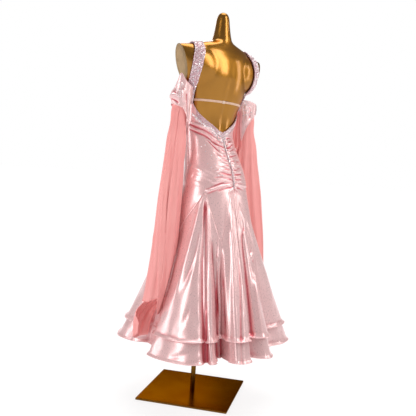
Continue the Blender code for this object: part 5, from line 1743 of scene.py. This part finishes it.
def build_room():
    m = Nodes("pale_floor")
    m.colour(m.ramp(m.noise(2.0, 2.0), (0.3, (0.20, 0.20, 0.20)), (0.7, (0.22, 0.22, 0.22))))
    m.set(Roughness=0.9, Specular_IOR_Level=0.0)
    m.set(Emission_Color=(1.0, 1.0, 1.0, 1.0), Emission_Strength=FLOOR_GLOW)
    mesh = bpy.data.meshes.new("floor")
    corners = [(x * FLOOR_HALF, y * FLOOR_HALF, 0) for x, y in ((-1, -1), (1, -1), (1, 1), (-1, 1))]
    mesh.from_pydata(corners, [], [(0, 1, 2, 3)])
    mesh.materials.append(m.material)
    floor = bpy.data.objects.new("floor", mesh)
    floor.location.z = -FLOOR_DROP
    bpy.context.collection.objects.link(floor)
    world = bpy.data.worlds.new("studio")
    bpy.context.scene.world = world
    world.use_nodes = True
    tree = world.node_tree
    room = tree.nodes["Background"]
    room.inputs["Color"].default_value = (1.0, 0.985, 0.97, 1.0)
    room.inputs["Strength"].default_value = ROOM_LIGHT
    seen = tree.nodes.new("ShaderNodeBackground")
    seen.inputs["Color"].default_value = (1.0, 1.0, 1.0, 1.0)
    path = tree.nodes.new("ShaderNodeLightPath")
    both = tree.nodes.new("ShaderNodeMixShader")
    tree.links.new(path.outputs["Is Camera Ray"], both.inputs[0])
    tree.links.new(room.outputs[0], both.inputs[1])
    tree.links.new(seen.outputs[0], both.inputs[2])
    tree.links.new(both.outputs[0], tree.nodes["World Output"].inputs["Surface"])
    bpy.context.scene.view_settings.view_transform = "Standard"
    for name, place, aim, size, power, tint in LAMPS:
        data = bpy.data.lights.new(name, "AREA")
        data.shape = "RECTANGLE"
        data.size, data.size_y = size
        data.energy = power
        data.color = tint
        lamp = bpy.data.objects.new(name, data)
        bpy.context.collection.objects.link(lamp)
        lamp.location = place
        way = Vector(aim) - Vector(place)
        lamp.rotation_mode = "QUATERNION"
        lamp.rotation_quaternion = way.to_track_quat("-Z", "Y")
    data = bpy.data.lights.new("ceiling", "SUN")
    data.energy, data.angle = CEILING_LIGHT, math.radians(CEILING_SPREAD)
    ceiling = bpy.data.objects.new("ceiling", data)
    ceiling.rotation_euler = [math.radians(v) for v in CEILING_TILT]
    bpy.context.collection.objects.link(ceiling)


# ---------------------------------------------------------------------------
# The whole scene
# ---------------------------------------------------------------------------

def main():
    make_camera()
    build_room()
    satin = satin_material()
    chiffon = chiffon_material()
    gold = gold_material(*FORM_GOLD)
    dark = gold_material(*STAND_GOLD)
    band = band_material()
    beads = (
        stone_material("silver_stones", ((0.90, 0.88, 0.90), (1.0, 0.98, 0.99), (0.92, 0.76, 0.80)), 0.55),
        stone_material(
            "pink_beads",
            ((0.72, 0.38, 0.43), (0.95, 0.70, 0.73), (1.0, 0.90, 0.92), (0.80, 0.50, 0.55)), 0.30,
        ),
    )
    for node in ("form_pole", "form_base"):
        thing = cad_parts[node]
        thing.data.materials.clear()
        thing.data.materials.append(dark)
    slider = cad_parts["elastic_slider"]
    slider.data.materials.clear()
    metal = plain_material("slider_metal", (0.70, 0.52, 0.42), (0.78, 0.60, 0.50), 0.3, 0.3)
    slider.data.materials.append(metal)
    form = build_form(gold, cap_material())
    tree = tree_of([v.co for v in form.data.vertices], [tuple(p.vertices) for p in form.data.polygons])
    grids = build_dress(satin)
    build_stones(grids_tree([grids["back_left"], grids["back_right"]]), beads[0])
    build_elastic(elastic_material())
    build_bands(band, beads)
    for side, word, edges, creases in (
        (1.0, "left", SLEEVE_EDGES_LEFT, LEFT_SLEEVE_CREASES),
        (-1.0, "right", PETAL_EDGES, RIGHT_SLEEVE_CREASES),
    ):
        build_strap(side, "strap_" + word, tree, band, beads)
        build_sleeve(side, word, edges, creases, satin, beads[0])
        for row in FLOATS:
            cloth = build_float(side, word, row, chiffon)
    gather = build_gather(chiffon)
    for block in bpy.data.materials:
        block.use_fake_user = False


main()
bpy.context.view_layer.update()
